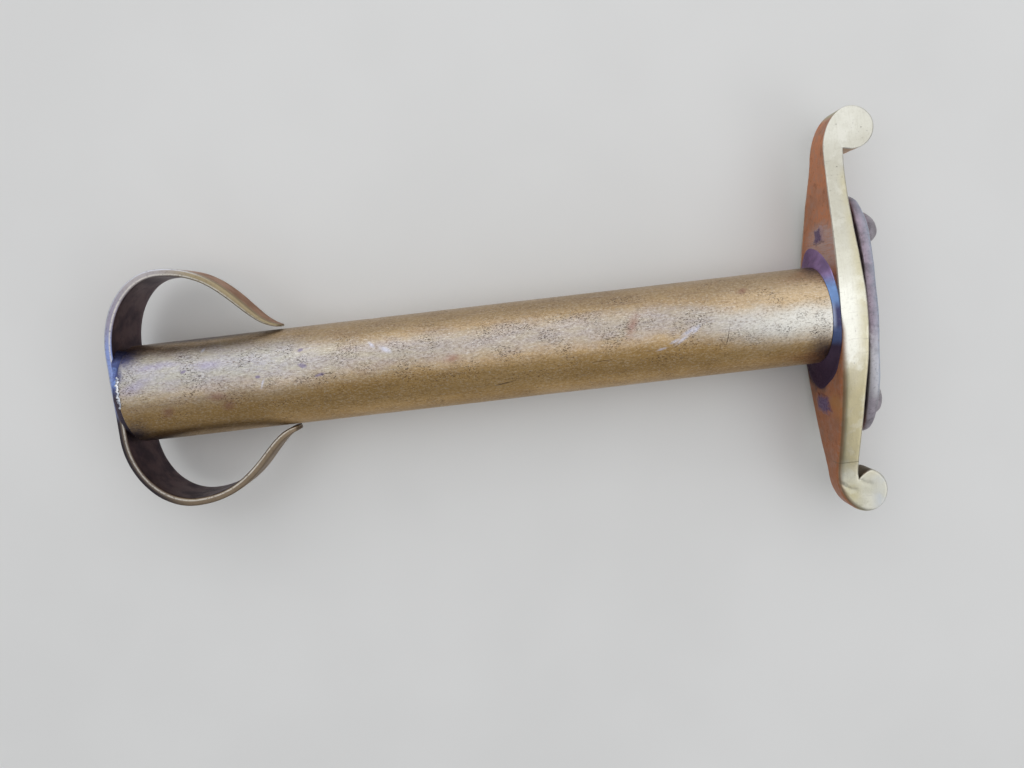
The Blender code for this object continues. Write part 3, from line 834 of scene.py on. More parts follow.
# Colours of the strap's sides, then of its edges
RED_OUTSIDE = ((0.38, 0.175, 0.075), (0.27, 0.125, 0.060))
DULL_OUTSIDE = ((0.28, 0.185, 0.105), (0.195, 0.130, 0.078))
# Painted shade inside the loops
SHADED_INSIDE = ((0.130, 0.078, 0.085), (0.072, 0.048, 0.062))
STRAP_PIT = (0.06, 0.04, 0.035)
LAVENDER_EDGE = ((0.30, 0.275, 0.335), (0.40, 0.365, 0.365))
YELLOW_EDGE = (0.33, 0.265, 0.16)
BROWN_EDGE = ((0.055, 0.046, 0.050), (0.155, 0.120, 0.095))
TAN_EDGE = (0.225, 0.170, 0.115)
# Painted blue sky reflection near the tube
BLUE_EDGE_REFLECTION = (0.25, 0.325, 0.62)
BRIGHT_LINE = (0.64, 0.60, 0.53)
# Painted highlight on the upper edges' rubbed outer corners
RUBBED_EDGE_AND_GLINT = (0.72, 0.74, 0.80)
EDGE_GRAIN = (0.12, 0.09, 0.08)


def worn_strap(x, y, across, along, fine):
    """Colour of the strap's edges: lavender and yellow above, brown below, with a painted blue sky reflection
    near the tube and a painted highlight on the upper edges' outer corner.
    """
    lavender = mix(ease(along, 0.50, 0.68), mix(ease(along, 0.30, 0.45), *LAVENDER_EDGE), YELLOW_EDGE)
    brown = mix(ease(along, 0.38, 0.52), mix(ease(across, -0.3, 0.1), *BROWN_EDGE), TAN_EDGE)
    above = ease(y, -5.0, 0.0)
    line = ease(across, 0.20, 0.42) * ease(across, 0.80, 0.55) * ease(fine, 0.32, 0.5, 0.2, 0.75)
    # Painted highlight, with some rubbing, on the outer corner of the upper loop's edges
    rubbed_glint = ease(across, -0.50, -0.80, 0.0, 0.75) * ease(y, -4.0, 1.0) * ease(along, 0.75, 0.55)
    return lay(
        mix(above, brown, lavender),
        # Painted blue sky reflection near the tube
        (above * ease(y, 15.0, 8.0) * ease(x, -126.0, -132.0, 0.0, 0.9), BLUE_EDGE_REFLECTION),
        (line, BRIGHT_LINE),
        (rubbed_glint, RUBBED_EDGE_AND_GLINT),
        (ease(fine, 0.30, 0.48, 0.45, 0.0), EDGE_GRAIN),
    )


def strap_brass():
    """Dull spring brass: painted shade inside the loops, red-brown outside, and grey on its worn edges."""
    material, place = new_material("strap_brass")
    x, y, _ = axes_of(place)
    inner, edge, across, along = painted(place, "inner", "edge", "across", "along")
    cloud = grain(place, 0.28, 5.0, 0.62)
    fine = grain(place, 2.6, 4.0, 0.65)
    clouded = ease(cloud, 0.35, 0.65)
    wander = (grain(place, 0.13, 5.0, 0.65) - 0.5) * 34.0
    outside = mix(ease(y + wander, 6.0, -9.0), mix(clouded, *RED_OUTSIDE), mix(clouded, *DULL_OUTSIDE))
    # Painted shade over the insides of the loops
    inside = mix(ease(cloud, 0.4, 0.65), *SHADED_INSIDE)
    pits = spots(place, 2.0, (0.64, 0.72), 0.25, (0.42, 0.6)) * (1.0 - edge)
    colour = lay(
        mix(inner, outside, inside),
        (edge, worn_strap(x, y, across, along, fine)),
        (pits * 0.7, STRAP_PIT),
    )
    rough = ease(cloud, 0.3, 0.7, 0.36, 0.52)
    return finish_material(material, colour, rough, 1.0, ((fine, 0.025), (1.0 - pits, 0.05)))


# Colours of the iron, each patina from purple to grey
PALE_PATINA = ((0.345, 0.280, 0.330), (0.445, 0.405, 0.440))
DARK_PATINA = ((0.190, 0.158, 0.185), (0.305, 0.278, 0.300))
HANDLED_IRON = (0.55, 0.54, 0.55)
BROWN_GRAIN = (0.13, 0.095, 0.095)
PURPLE_TAIL = ((0.12, 0.065, 0.150), (0.22, 0.155, 0.26))
SMEARED_TAIL = ((0.40, 0.175, 0.115), (0.48, 0.325, 0.305))
# Painted glint along the plate's rim
RIM_GLINT_IRON = (0.56, 0.63, 0.74)


def dark_iron():
    """Wrought iron with a purple-grey patina and a painted bluish glint along its rims; purple on the rivets'
    tails.
    """
    material, place = new_material("dark_iron")
    x, y, _ = axes_of(place)
    rim, fade = painted(place, "rim", "fade")
    cloud = grain(place, 0.45, 6.0, 0.68)
    fine = grain(place, 2.2, 5.0, 0.65)
    up = y + (cloud - 0.5) * 12.0
    grey = larger(ease(x, 8.2, 9.4, 0.0, 0.9), ease(up, -5.0, -14.0, 0.0, 0.7))
    smeared = ease(fade + (fine - 0.5) * 1.1, 0.45, 0.95, 0.0, 0.92)
    # Painted glint along the rims, patchy and fading downwards
    rubbed_glint = rim * ease(fine, 0.3, 0.6, 0.35, 1.0) * ease(y, -18.0, -12.0, 0.15, 1.0)
    colour = lay(
        mix(ease(cloud, 0.35, 0.65), mix(grey, *PALE_PATINA), mix(grey, *DARK_PATINA)),
        (ease(up, -18.0, -13.0, 0.0, 0.7) * ease(up, -2.0, -8.0), HANDLED_IRON),
        (ease(fine, 0.52, 0.72, 0.0, 0.55), BROWN_GRAIN),
        (ease(x, 3.0, 1.5), mix(ease(fine, 0.38, 0.60), *PURPLE_TAIL)),
        (smeared, mix(ease(y, -1.0, 1.0), *SMEARED_TAIL)),
        (rubbed_glint, RIM_GLINT_IRON),
    )
    rough = ease(fine, 0.3, 0.7, 0.40, 0.58)
    return finish_material(material, colour, rough, 0.9, ((cloud, 0.10), (fine, 0.03)))


# Colours of the solder at the collar, at the strap and in the bead
PURPLE_FILM = ((0.36, 0.245, 0.45), (0.225, 0.155, 0.29))
BLACK_FILM = (0.064, 0.042, 0.068)
# Painted sky reflection along the collar's near side
NAVY_REFLECTION = ((0.24, 0.27, 0.38), (0.060, 0.060, 0.125))
LOWER_BLUE_REFLECTION = (0.105, 0.140, 0.28)
UPPER_BLUE_REFLECTION = (0.150, 0.240, 0.44)
FILM_GLINT = (0.30, 0.26, 0.32)
FILM_SHINE = (0.62, 0.54, 0.60)
# Blue-grey solder at the strap, partly a painted sky reflection; darker towards the top with tarnish and
# painted shadow, and painted shade in the gap
STRAP_BLUE = ((0.20, 0.29, 0.58), (0.15, 0.19, 0.42))
NAVY_RIM = (0.050, 0.058, 0.15)
NAVY_TOP = (0.060, 0.075, 0.18)
BLACK_TOP = (0.032, 0.032, 0.075)
GAP_SHADE = (0.085, 0.070, 0.090)
STRAP_GRAIN = (0.16, 0.14, 0.17)
# Silver solder clouding between painted bright glints and grey
SILVER_AND_GLINTS = ((0.86, 0.86, 0.88), (0.38, 0.40, 0.46))
SILVER_GRAIN = (0.16, 0.14, 0.14)


def dark_solder():
    """Old solder with a purple-black film, and a painted blue and navy sky reflection along its near side."""
    material, place = new_material("dark_solder")
    x, y, z = axes_of(place)
    cloud = grain(place, 0.35, 5.0, 0.62)
    fine = grain(place, 2.0, 4.0, 0.65)
    ragged = (cloud - 0.5) * 5.0
    up = y + ragged * 0.4
    # Painted sky reflection along the near side, blue and navy
    near = ease(up, -6.0, -4.2) * ease(up, 8.6, 5.4) * ease(z + ragged, 3.5, 7.0)
    side = lay(
        mix(ease(x, -1.15, -0.50), *NAVY_REFLECTION),
        (ease(up, -1.4, -3.0), LOWER_BLUE_REFLECTION),
        (ease(up, 1.2, 3.4), UPPER_BLUE_REFLECTION),
    )
    colour = lay(
        mix(ease(cloud, 0.35, 0.65), *PURPLE_FILM),
        (ease(y, 1.0, -5.0), BLACK_FILM),
        (near, side),
        (ease(fine, 0.55, 0.75, 0.0, 0.35) * ease(up, -5.0, 0.0), FILM_GLINT),
    )
    rough = ease(fine, 0.3, 0.7, 0.28, 0.46)
    return finish_material(material, colour, rough, 1.0, ((cloud, 0.08), (fine, 0.025)), FILM_SHINE)


def blue_solder():
    """Solder at the strap: blue-grey, partly a painted sky reflection, with painted shade where it fills the
    gap and darker towards the top with tarnish and painted shadow.
    """
    material, place = new_material("blue_solder")
    x, y, _ = axes_of(place)
    cloud = grain(place, 0.7, 5.0, 0.65)
    fine = grain(place, 3.2, 4.0, 0.6)
    wander = (cloud - 0.5) * 2.4
    over, up = x + wander, y + wander
    # Painted sky reflection in the blue, painted shadow towards the top and painted shade in the gap
    colour = lay(
        mix(ease(cloud, 0.38, 0.62), *STRAP_BLUE),
        (ease(over, -136.7, -135.9, 0.0, 0.85), NAVY_RIM),
        (ease(up, 4.8, 6.4, 0.0, 0.8), NAVY_TOP),
        (ease(up, 6.2, 8.0, 0.0, 0.9), BLACK_TOP),
        (ease(y, 3.0, 0.0), GAP_SHADE),
        (ease(fine, 0.56, 0.70, 0.0, 0.5), STRAP_GRAIN),
    )
    rough = ease(fine, 0.3, 0.7, 0.36, 0.52)
    return finish_material(material, colour, rough, 0.9, ((cloud, 0.10), (fine, 0.03)))


def bright_solder():
    """Silver solder, clouding between painted bright glints and grey."""
    material, place = new_material("bright_solder")
    cloud = grain(place, 1.2, 5.0, 0.65)
    fine = grain(place, 3.5, 4.0, 0.6)
    silver = mix(ease(cloud, 0.40, 0.60), *SILVER_AND_GLINTS)
    colour = mix(ease(fine, 0.60, 0.74, 0.0, 0.7), silver, SILVER_GRAIN)
    rough = ease(fine, 0.3, 0.7, 0.25, 0.42)
    return finish_material(material, colour, rough, 1.0, ((cloud, 0.08), (fine, 0.03)))


# Colours of the hidden plugs and of the floor
TURNED_BRASS = ((0.52, 0.38, 0.16), (0.42, 0.29, 0.11))
PALE_FLOOR = ((0.72, 0.71, 0.69), (0.69, 0.68, 0.66))


def hidden_brass():
    """Turned brass of the plugs inside the tube."""
    material, place = new_material("turned_brass")
    turned = grain(place, 4.0, 3.0, 0.6, (1.0, 0.1, 0.1))
    colour = mix(ease(turned, 0.35, 0.65), *TURNED_BRASS)
    return finish_material(material, colour, ease(turned, 0.3, 0.7, 0.30, 0.45), 1.0)


def floor_paint():
    """Pale paint with faint clouds."""
    material, place = new_material("pale_floor")
    colour = mix(ease(grain(place, 0.02, 3.0, 0.5), 0.3, 0.7), *PALE_FLOOR)
    return finish_material(material, colour, 0.75, 0.0)


# Grip tube

def tube_profile():
    """Places along the tube and distances from its axis, once round its wall."""
    turn = np.radians(np.linspace(0.0, 90.0, 5))
    insets, drops = EDGE_ROUNDING * (1 - np.sin(turn)), EDGE_ROUNDING * (1 - np.cos(turn))
    rounding = list(zip(insets, TUBE_RADIUS - drops))
    start, end = TUBE_END, TUBE_ROOT + ROOT_REACH
    count = round((end - start) / TUBE_STEP)
    outside = np.linspace(start + EDGE_ROUNDING, end - EDGE_ROUNDING, count)
    profile = [(start + inset, radius) for inset, radius in rounding[::-1]]
    profile += [(x, TUBE_RADIUS) for x in outside[1:-1]]
    profile += [(end - inset, radius) for inset, radius in rounding]
    return profile + [(x, TUBE_RADIUS - TUBE_WALL) for x in np.linspace(end, start, 12)]


def random_dents(seed):
    """Dents at random places on the tube's skin."""
    chance = random.Random(seed)
    dents = []
    for _ in range(DENT_COUNT):
        x = chance.uniform(TUBE_END, TUBE_ROOT)
        angle = chance.uniform(-math.pi, math.pi)
        place = (x, TUBE_RADIUS * math.sin(angle), TUBE_RADIUS * math.cos(angle))
        dents.append((place, chance.uniform(*DENT_RADII), chance.uniform(*DENT_DEPTHS)))
    return dents


def make_tube():
    rings = [oval_ring(x, radius, radius, 2.0, TUBE_AROUND) for x, radius in tube_profile()]
    mesh = ring_mesh("worn_tube", rings, around=True)
    wear_mesh(mesh, TUBE_WEAR, random_dents(seed=4))
    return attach(make_piece(mesh, tube_brass(), "tube_brass", "grip_tube"), "handle")


# Crossguard

def guard_half_width(y):
    """Half the guard's width, which tapers along its bar and eases into the width of its scrolls."""
    middle = GUARD_WIDTH / 2 - WEAR_MARGIN
    taper = (middle - NECK_WIDTH / 2) * (1.0 - (np.abs(y) / NECK_PLACE) ** FLANK_POWER)
    ease_in = np.interp(y, (-NECK_PLACE, NECK_PLACE), NECK_EASES)
    return (NECK_WIDTH + taper + np.sqrt(taper**2 + 4 * ease_in**2)) / 2


def guard_face(y):
    """Tube-side face of the guard's bar at places along it from its middle."""
    lean = np.where(np.asarray(y) > 0.0, UPPER_ARM.lean, LOWER_ARM.lean)
    return lean * np.clip(np.abs(y) / NECK_PLACE, 0.0, 1.0) ** LEAN_POWER


def bar_faces(arm):
    """An arm's tube-side face from the guard's middle to its neck, and its outer face from there back."""
    share = np.linspace(0.0, 1.0, CURVE_POINTS)
    face = np.column_stack([arm.lean * share**LEAN_POWER, NECK_PLACE * share])
    taper = (arm.lean + arm.neck - GUARD_THICKNESS) * share**LEAN_POWER
    hollow = arm.hollow * share * np.sin(math.pi * share)
    back = np.column_stack([GUARD_THICKNESS + taper - hollow, NECK_PLACE * share])
    return face, back[::-1]


def scroll_lines(arm, end):
    """An arm's shoulder, roll, nose and throat, from its tube-side face round to its outer face."""
    turn = np.linspace(0.0, math.pi / 2, CURVE_POINTS)
    shoulder = np.column_stack([
        arm.lean + (arm.axis - arm.lean) * (1.0 - np.cos(turn)),
        NECK_PLACE + (end - NECK_PLACE) * np.sin(turn),
    ])
    axis = np.array((arm.axis, end - arm.roll[1]))
    turn = np.radians(np.linspace(90.0, arm.turn, ROLL_POINTS))
    roll = axis + np.column_stack([arm.roll[0] * np.cos(turn), arm.roll[1] * np.sin(turn)])
    leave = (roll[-1] - roll[-2]) / np.linalg.norm(roll[-1] - roll[-2])
    apex = axis + np.array(arm.notch)
    nose_end = apex + arm.nose[1] * np.array(NOSE_WAY)
    nose = bezier((roll[-1], roll[-1] + arm.nose[0] * leave, nose_end, apex))
    neck = np.array((arm.lean + arm.neck, NECK_PLACE))
    drop = np.array((0.0, (apex[1] - NECK_PLACE) / 3))
    throat = bezier((apex, apex - drop, neck + drop, neck))
    return shoulder, roll, nose, throat


def arm_outline(arm):
    """One arm's stretches once round from the guard's middle, each with the radius of the edge along it."""
    end = abs((guard_high.y if arm.side > 0 else guard_low.y) - ORIGIN.y - GUARD_MIDDLE)
    face, back = bar_faces(arm)
    shoulder, *scroll = scroll_lines(arm, end)
    rolled = [(line, SCROLL_EDGE) for line in scroll]
    return [(face, arm.edge), (shoulder, arm.edge), *rolled, (back, OUTER_EDGE)]


def joined_stretches(stretches):
    """Stretches resampled and joined into one line, with the edge radius at each of its points."""
    points, edges = [], []
    for line, edge in stretches:
        line = even_steps(line, OUTLINE_STEP)[:-1]
        points.append(line)
        edges.append(np.full(len(line), edge))
    return np.concatenate(points), np.concatenate(edges)


def guard_outline():
    """Closed outline of the guard seen from its side, with the edge radius at each point."""
    upper, upper_edges = joined_stretches(arm_outline(UPPER_ARM))
    lower_stretches = [(line[::-1] * (1.0, -1.0), edge) for line, edge in reversed(arm_outline(LOWER_ARM))]
    lower, lower_edges = joined_stretches(lower_stretches)
    points = np.concatenate([upper, lower])
    edges = np.concatenate([upper_edges, lower_edges])
    padded = np.concatenate([edges[-EDGE_WINDOW:], edges, edges[:EDGE_WINDOW]])
    eased = np.convolve(padded, np.ones(EDGE_WINDOW) / EDGE_WINDOW, "same")[EDGE_WINDOW:-EDGE_WINDOW]
    return points, eased


def inward_normals(outline):
    """Ways square to the outline at its points, towards its inside."""
    way = np.roll(outline, -1, axis=0) - np.roll(outline, 1, axis=0)
    way /= np.linalg.norm(way, axis=1)[:, None]
    return np.column_stack([way[:, 1], -way[:, 0]])


def is_inside(points, outline):
    """Whether each point lies inside the outline."""
    inside = np.zeros(len(points), dtype=bool)
    for (x1, y1), (x2, y2) in zip(outline, np.roll(outline, -1, axis=0)):
        if y1 == y2:
            continue
        crosses = (y1 > points[:, 1]) != (y2 > points[:, 1])
        inside ^= crosses & (points[:, 0] < (x2 - x1) * (points[:, 1] - y1) / (y2 - y1) + x1)
    return inside


def distance_to(points, outline):
    """Distance from each point to the nearest point of the outline, and which one that is."""
    gaps = np.linalg.norm(points[:, None, :] - outline[None, :, :], axis=2)
    nearest = gaps.argmin(axis=1)
    return gaps[np.arange(len(points)), nearest], nearest


def edge_points(outline, edges):
    """Rings of points over the guard's round edge, with their heights above its middle plane."""
    normals = inward_normals(outline)
    points, heights = [], []
    for degrees in EDGE_ANGLES:
        angle = math.radians(degrees)
        depth = edges * (1.0 - math.cos(angle))
        ring = outline + normals * depth[:, None]
        keep = distance_to(ring, outline)[0] > RING_KEPT * depth
        points.append(ring[keep])
        heights.append((guard_half_width(ring[:, 1]) - edges * (1.0 - math.sin(angle)))[keep])
    return points, heights


def guard_cap_points(outline, edges):
    """Points inside the outline, each with its height above the guard's middle plane."""
    points, heights = edge_points(outline, edges)
    low, high = outline.min(axis=0), outline.max(axis=0)
    across = np.arange(low[0], high[0], INSIDE_STEP)
    along = np.arange(low[1], high[1], INSIDE_STEP)
    grid = np.array([(x + (i % 2) * INSIDE_STEP / 2, y) for i, y in enumerate(along) for x in across])
    grid = grid[is_inside(grid, outline)]
    gap, nearest = distance_to(grid, outline)
    grid = grid[gap > edges[nearest] + GRID_CLEARANCE]
    return np.concatenate([*points, grid]), np.concatenate([*heights, guard_half_width(grid[:, 1])])


def cap_triangles(outline, inside):
    """Triangles over the outline and the points inside it, which are numbered on from the outline's."""
    flat = [Vector(point) / MM for point in np.concatenate([outline, inside])]
    count = len(outline)
    border = [(i, (i + 1) % count) for i in range(count)]
    _, _, faces, origins, _, _ = delaunay_2d_cdt(flat, border, [], 1, JOIN_GAP)
    return [tuple(origins[i][0] for i in face) for face in faces]


def guard_points(outline, edges, inside, heights):
    """Rows of the outline across the guard's width, then the points of its near and far sides."""
    wall_height = guard_half_width(outline[:, 1]) - edges
    rows = [np.column_stack([outline, share * wall_height]) for share in np.linspace(-1.0, 1.0, WALL_ROWS)]
    sides = [np.column_stack([inside, heights]), np.column_stack([inside, -heights])]
    points = np.concatenate(rows + sides)
    points[:, 1] += GUARD_MIDDLE
    return points


def guard_faces(size, triangles, inside_count):
    """Wall faces between the rows, then the triangles of the near and far sides."""
    wall = WALL_ROWS * size
    faces = loft_faces(WALL_ROWS, size)[:-2]
    for border, interior in ((wall - size, wall), (0, wall + inside_count)):
        for triangle in triangles:
            faces.append(tuple(border + i if i < size else interior + i - size for i in triangle))
    return faces


def paint_guard(mesh, outline, edges, inside):
    """Where the guard is worn pale, how near its outer face each point lies, and its bright rims."""
    size = len(outline)
    gap, nearest = distance_to(inside, outline)
    softness = np.clip((edges - OUTER_EDGE) / (SOFT_EDGE - OUTER_EDGE), 0.0, 1.0)
    inwards = np.clip((gap / edges[nearest] - WORN_FROM) / WORN_OVER, 0.0, 1.0)
    side_worn = 1.0 - softness[nearest] * (1.0 - inwards)
    side_rim = np.clip(1.0 - gap / (RIM_WIDTH * edges[nearest]), 0.0, 1.0) * (1.0 - softness[nearest])
    wall_rim = [np.zeros(size)] * WALL_ROWS
    wall_rim[0] = wall_rim[-1] = 1.0 - softness
    wall_worn = [rim * BORDER_WORN for rim in wall_rim]
    face = guard_face(inside[:, 1])
    on_bar = np.clip((NECK_PLACE - np.abs(inside[:, 1])) / NECK_FADE, 0.0, 1.0)
    side_outer = np.clip((inside[:, 0] - face) / (GUARD_THICKNESS - face), 0.0, 1.0) * on_bar
    paint(
        mesh,
        worn=np.concatenate(wall_worn + [side_worn, side_worn]),
        outer=np.concatenate([np.zeros(WALL_ROWS * size), side_outer, side_outer]),
        rim=np.concatenate(wall_rim + [side_rim, side_rim]),
    )


def distance_to_line(points, line):
    """Distance of points from a line of straight pieces."""
    nearest = np.full(len(points), np.inf)
    for start, end in zip(line, line[1:]):
        run = end - start
        share = np.clip((points - start) @ run / (run @ run), 0.0, 1.0)
        nearest = np.minimum(nearest, np.linalg.norm(points - start - share[:, None] * run, axis=1))
    return nearest


def creased(inside, heights):
    """Heights of the side's points, lowered along the creases of the lower scroll."""
    lowered = np.array(heights)
    places = inside + np.array((0.0, GUARD_MIDDLE))
    for line, half_width, depth in SCROLL_CREASES:
        gap = distance_to_line(places, np.array(line) * MM) / (half_width * MM)
        lowered -= depth * MM * np.clip(1.0 - gap**2, 0.0, None)
    return lowered


def guard_mesh():
    """Side outline carried across the guard's width, with round edges."""
    outline, edges = guard_outline()
    inside, heights = guard_cap_points(outline, edges)
    triangles = cap_triangles(outline, inside)
    points = guard_points(outline, edges, inside, creased(inside, heights))
    mesh = make_mesh("worn_guard", points, guard_faces(len(outline), triangles, len(inside)))
    paint_guard(mesh, outline, edges, inside)
    return mesh


def make_guard():
    mesh = guard_mesh()
    wear_mesh(mesh, GUARD_WEAR, seed=3)
    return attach(make_piece(mesh, guard_brass(), "guard_brass", "crossguard"), "handle")


# Iron plate and rivets

def plate_mesh():
    """Forged oval plate with round rims."""
    seat, face = plate_low.x - PLATE_SEAT, plate_high.x
    profile = [(seat, share) for share in np.linspace(PLATE_MIDDLE, SEAT_SHARE, PLATE_RINGS)]
    profile += [(seat + rise, share) for rise, share in SEAT_RIM]
    profile += [(face - drop, share) for drop, share in FACE_RIM]
    profile += [(face, share) for share in np.linspace(FACE_SHARE, PLATE_MIDDLE, PLATE_RINGS)]
    rings, rim = [], []
    for x, share in profile:
        half_y, half_z = PLATE_REACH * share, PLATE_HALF_WIDTH * share
        rings.append(oval_ring(x, half_y, half_z, PLATE_SQUARENESS, PLATE_AROUND, y=GUARD_MIDDLE))
        bright = np.clip((x - face) / RIM_DEPTH + 1.0, 0.0, 1.0)
        rim.append(np.full(PLATE_AROUND, bright if share > SEAT_SHARE else 0.0))
    mesh = ring_mesh("forged_plate", rings)
    paint(mesh, rim=np.concatenate(rim), fade=np.zeros(len(rings) * PLATE_AROUND))
    return mesh


def make_plate(material):
    mesh = plate_mesh()
    wear_mesh(mesh, PLATE_WEAR, seed=5)
    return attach(make_piece(mesh, material, "iron", "guard_plate"), "handle")


def ragged_oval(x, half_y, half_z, y, z, seed):
    """Squarish ring of a rivet's tail with a ragged outline, lying on the guard's leaning face."""
    ring = oval_ring(0.0, half_y, half_z, TAIL_SQUARENESS, RIVET_AROUND)
    ring *= 1.0 + TAIL_RAGGED * ragged_turn(full_turn(RIVET_AROUND), 2.6, seed)[:, None]
    ring += np.array((0.0, y, z))
    ring[:, 0] = guard_face(ring[:, 1] - GUARD_MIDDLE) + x
    return ring


def rivet_mesh(rivet):
    """Hammered tail, shank and domed head."""
    low, high = (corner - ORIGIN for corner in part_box(rivet.name))
    y, z = (low.y + high.y) / 2, (low.z + high.z) / 2
    head = (high.y - low.y) / 2
    tail_y, tail_z = y + rivet.shift_y, z + rivet.shift_z
    head_seat = plate_high.x - HEAD_SINK
    dome = (high.x - head_seat) * rivet.head
    rings, fade = [], []
    for share, rise in TAIL_STEPS:
        half_y, half_z = rivet.half_y * share, rivet.half_z * share
        rings.append(ragged_oval(-rise * MM, half_y, half_z, tail_y, tail_z, rivet.seed))
        fade.append(np.full(RIVET_AROUND, share))
    rounds = [(SHANK_START, SHANK_RADIUS), (head_seat, SHANK_RADIUS), (head_seat, head * 0.99)]
    for angle in map(math.radians, HEAD_ANGLES):
        rounds.append((head_seat + dome * math.sin(angle), head * math.cos(angle) ** HEAD_POWER))
    rings += [oval_ring(x, radius, radius, 2.0, RIVET_AROUND, y, z) for x, radius in rounds]
    mesh = ring_mesh("hammered_" + rivet.name, rings)
    plain = np.zeros(len(rounds) * RIVET_AROUND)
    paint(mesh, rim=np.zeros(len(rings) * RIVET_AROUND), fade=np.concatenate(fade + [plain]))
    return mesh


def make_rivets(material):
    for rivet in RIVETS:
        mesh = rivet_mesh(rivet)
        wear_mesh(mesh, RIVET_WEAR, seed=rivet.seed)
        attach(make_piece(mesh, material, "iron", rivet.name), "handle")


# Solder collar at the tube's root

def collar_rings():
    """Rings of a fillet that climbs from an uneven oval on the guard to the tube, and of its bore."""
    angle = full_turn(COLLAR_AROUND)
    ragged = ragged_turn(angle, 2.2, 0.3)
    outer_y = np.cos(angle) * (COLLAR_REACH + COLLAR_RAGGED[0] * ragged) + GUARD_MIDDLE
    lean = np.where(np.cos(angle) > 0.0, *LOBE_LEANS) * np.abs(np.cos(angle)) ** LOBE_POWER
    outer_z = np.sin(angle) * (COLLAR_HALF_WIDTH + COLLAR_RAGGED[1] * ragged) - lean
    root = TUBE_RADIUS + COLLAR_LIFT
    climb = abs(TUBE_ROOT + ROOT_REACH) + COLLAR_CLIMB
    root_y, root_z = root * np.cos(angle), root * np.sin(angle)
    bore_y, bore_z = COLLAR_BORE * np.cos(angle), COLLAR_BORE * np.sin(angle)
    flat = np.ones(COLLAR_AROUND)
    rings = [np.column_stack([flat * (BORE_SET - climb), bore_y, bore_z])]
    rings.append(np.column_stack([flat * (LIP_SET - climb), root_y * 0.99, root_z * 0.99]))
    for share in np.linspace(0.0, 1.0, 16):
        y = root_y + (outer_y - root_y) * share
        z = root_z + (outer_z - root_z) * share
        height = climb * (1.0 - share) ** COLLAR_CURVE + COLLAR_SWELL * share * (1.0 - share**6)
        rings.append(np.column_stack([guard_face(y - GUARD_MIDDLE) - height + COLLAR_SINK, y, z]))
    seat = guard_face(outer_y - GUARD_MIDDLE) + RIM_SINK
    rings.append(np.column_stack([seat, outer_y * 0.99, outer_z * 0.99]))
    rings.append(np.column_stack([flat * RIM_SINK, bore_y, bore_z]))
    return rings


def make_collar():
    mesh = ring_mesh("solder_collar", collar_rings(), around=True)
    wear_mesh(mesh, COLLAR_WEAR, seed=11)
    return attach(make_piece(mesh, dark_solder(), "solder", "root_collar"), "handle")


# Strap

def strap_line(loop):
    """Middle line of half the strap, from the middle of its flat over the loop to the tip."""
    crown = np.array((STRAP_MIDDLE + loop.setback, TUBE_RADIUS + loop.rise))
    flat = np.array(((STRAP_MIDDLE, 0.0), (STRAP_MIDDLE, HINGE_PLACE)))
    turn = np.linspace(0.0, math.pi / 2, BEND_POINTS)
    climb = crown[1] - HINGE_PLACE
    bend = crown - np.column_stack([loop.setback * np.cos(turn), climb * (1.0 - np.sin(turn))])
    tip = np.array((STRAP_MIDDLE + loop.reach, TUBE_RADIUS + TIP_HEIGHT))
    fall = tip[0] - crown[0]
    drop = fall * TIP_HANDLE * np.array((math.cos(TIP_SLOPE), -math.sin(TIP_SLOPE)))
    down = bezier((crown, crown + np.array((fall * CROWN_HANDLE, 0.0)), tip - drop, tip), CURVE_POINTS)
    return even_steps(np.concatenate([flat, bend[1:], down[1:]]), STRAP_STEP)


def strap_section(thin, wide, edge):
    """Points round the strip: across its thickness, with the tube's side positive, and across its width."""
    edge = min(edge, 0.8 * thin)
    section = []
    for quarter, (a, b) in enumerate(((1, 1), (-1, 1), (-1, -1), (1, -1))):
        for step in range(5):
            angle = math.radians(90.0 * quarter + 22.5 * step)
            deep = a * (thin - edge) + edge * math.cos(angle)
            section.append((deep, b * (wide - edge) + edge * math.sin(angle)))
        if quarter in (1, 3):
            for share in np.linspace(0.0, 1.0, 14)[1:-1]:
                section.append((a * thin, b * (wide - edge) * (1.0 - 2.0 * share)))
    return section


def strap_half_sizes(loop, along, length):
    """Half thickness and half width of the strip at a distance along it."""
    share = max(0.0, (along - HINGE_PLACE) / (length - HINGE_PLACE))
    thin = (STRAP_THICKNESS + (loop.tip - STRAP_THICKNESS) * share**THINNING) / 2
    wide = (STRAP_WIDTH + (TIP_WIDTH - STRAP_WIDTH) * share) / 2
    left = min(1.0, (length - along) / TIP_ROUNDING)
    bow = math.sqrt(1.0 - (1.0 - left) ** 2)
    thin_left, wide_left = (left + (1.0 - left) * bow for left in TIP_SHARES)
    return thin * thin_left, wide * wide_left


def edge_wear(loop, share, a, b, wide):
    """Wear of a point of the strip: full on its edges, and run out over the upper arm's outside near them."""
    if abs(b) > wide - STRAP_EDGE:
        return 1.0
    if loop.side < 0 or a > 0.0 or b < 0.0:
        return 0.0
    return np.interp(share, WORN_ALONG, (0.0, 1.0)) * max(0.0, 1.0 - (wide - b) / WORN_BAND)


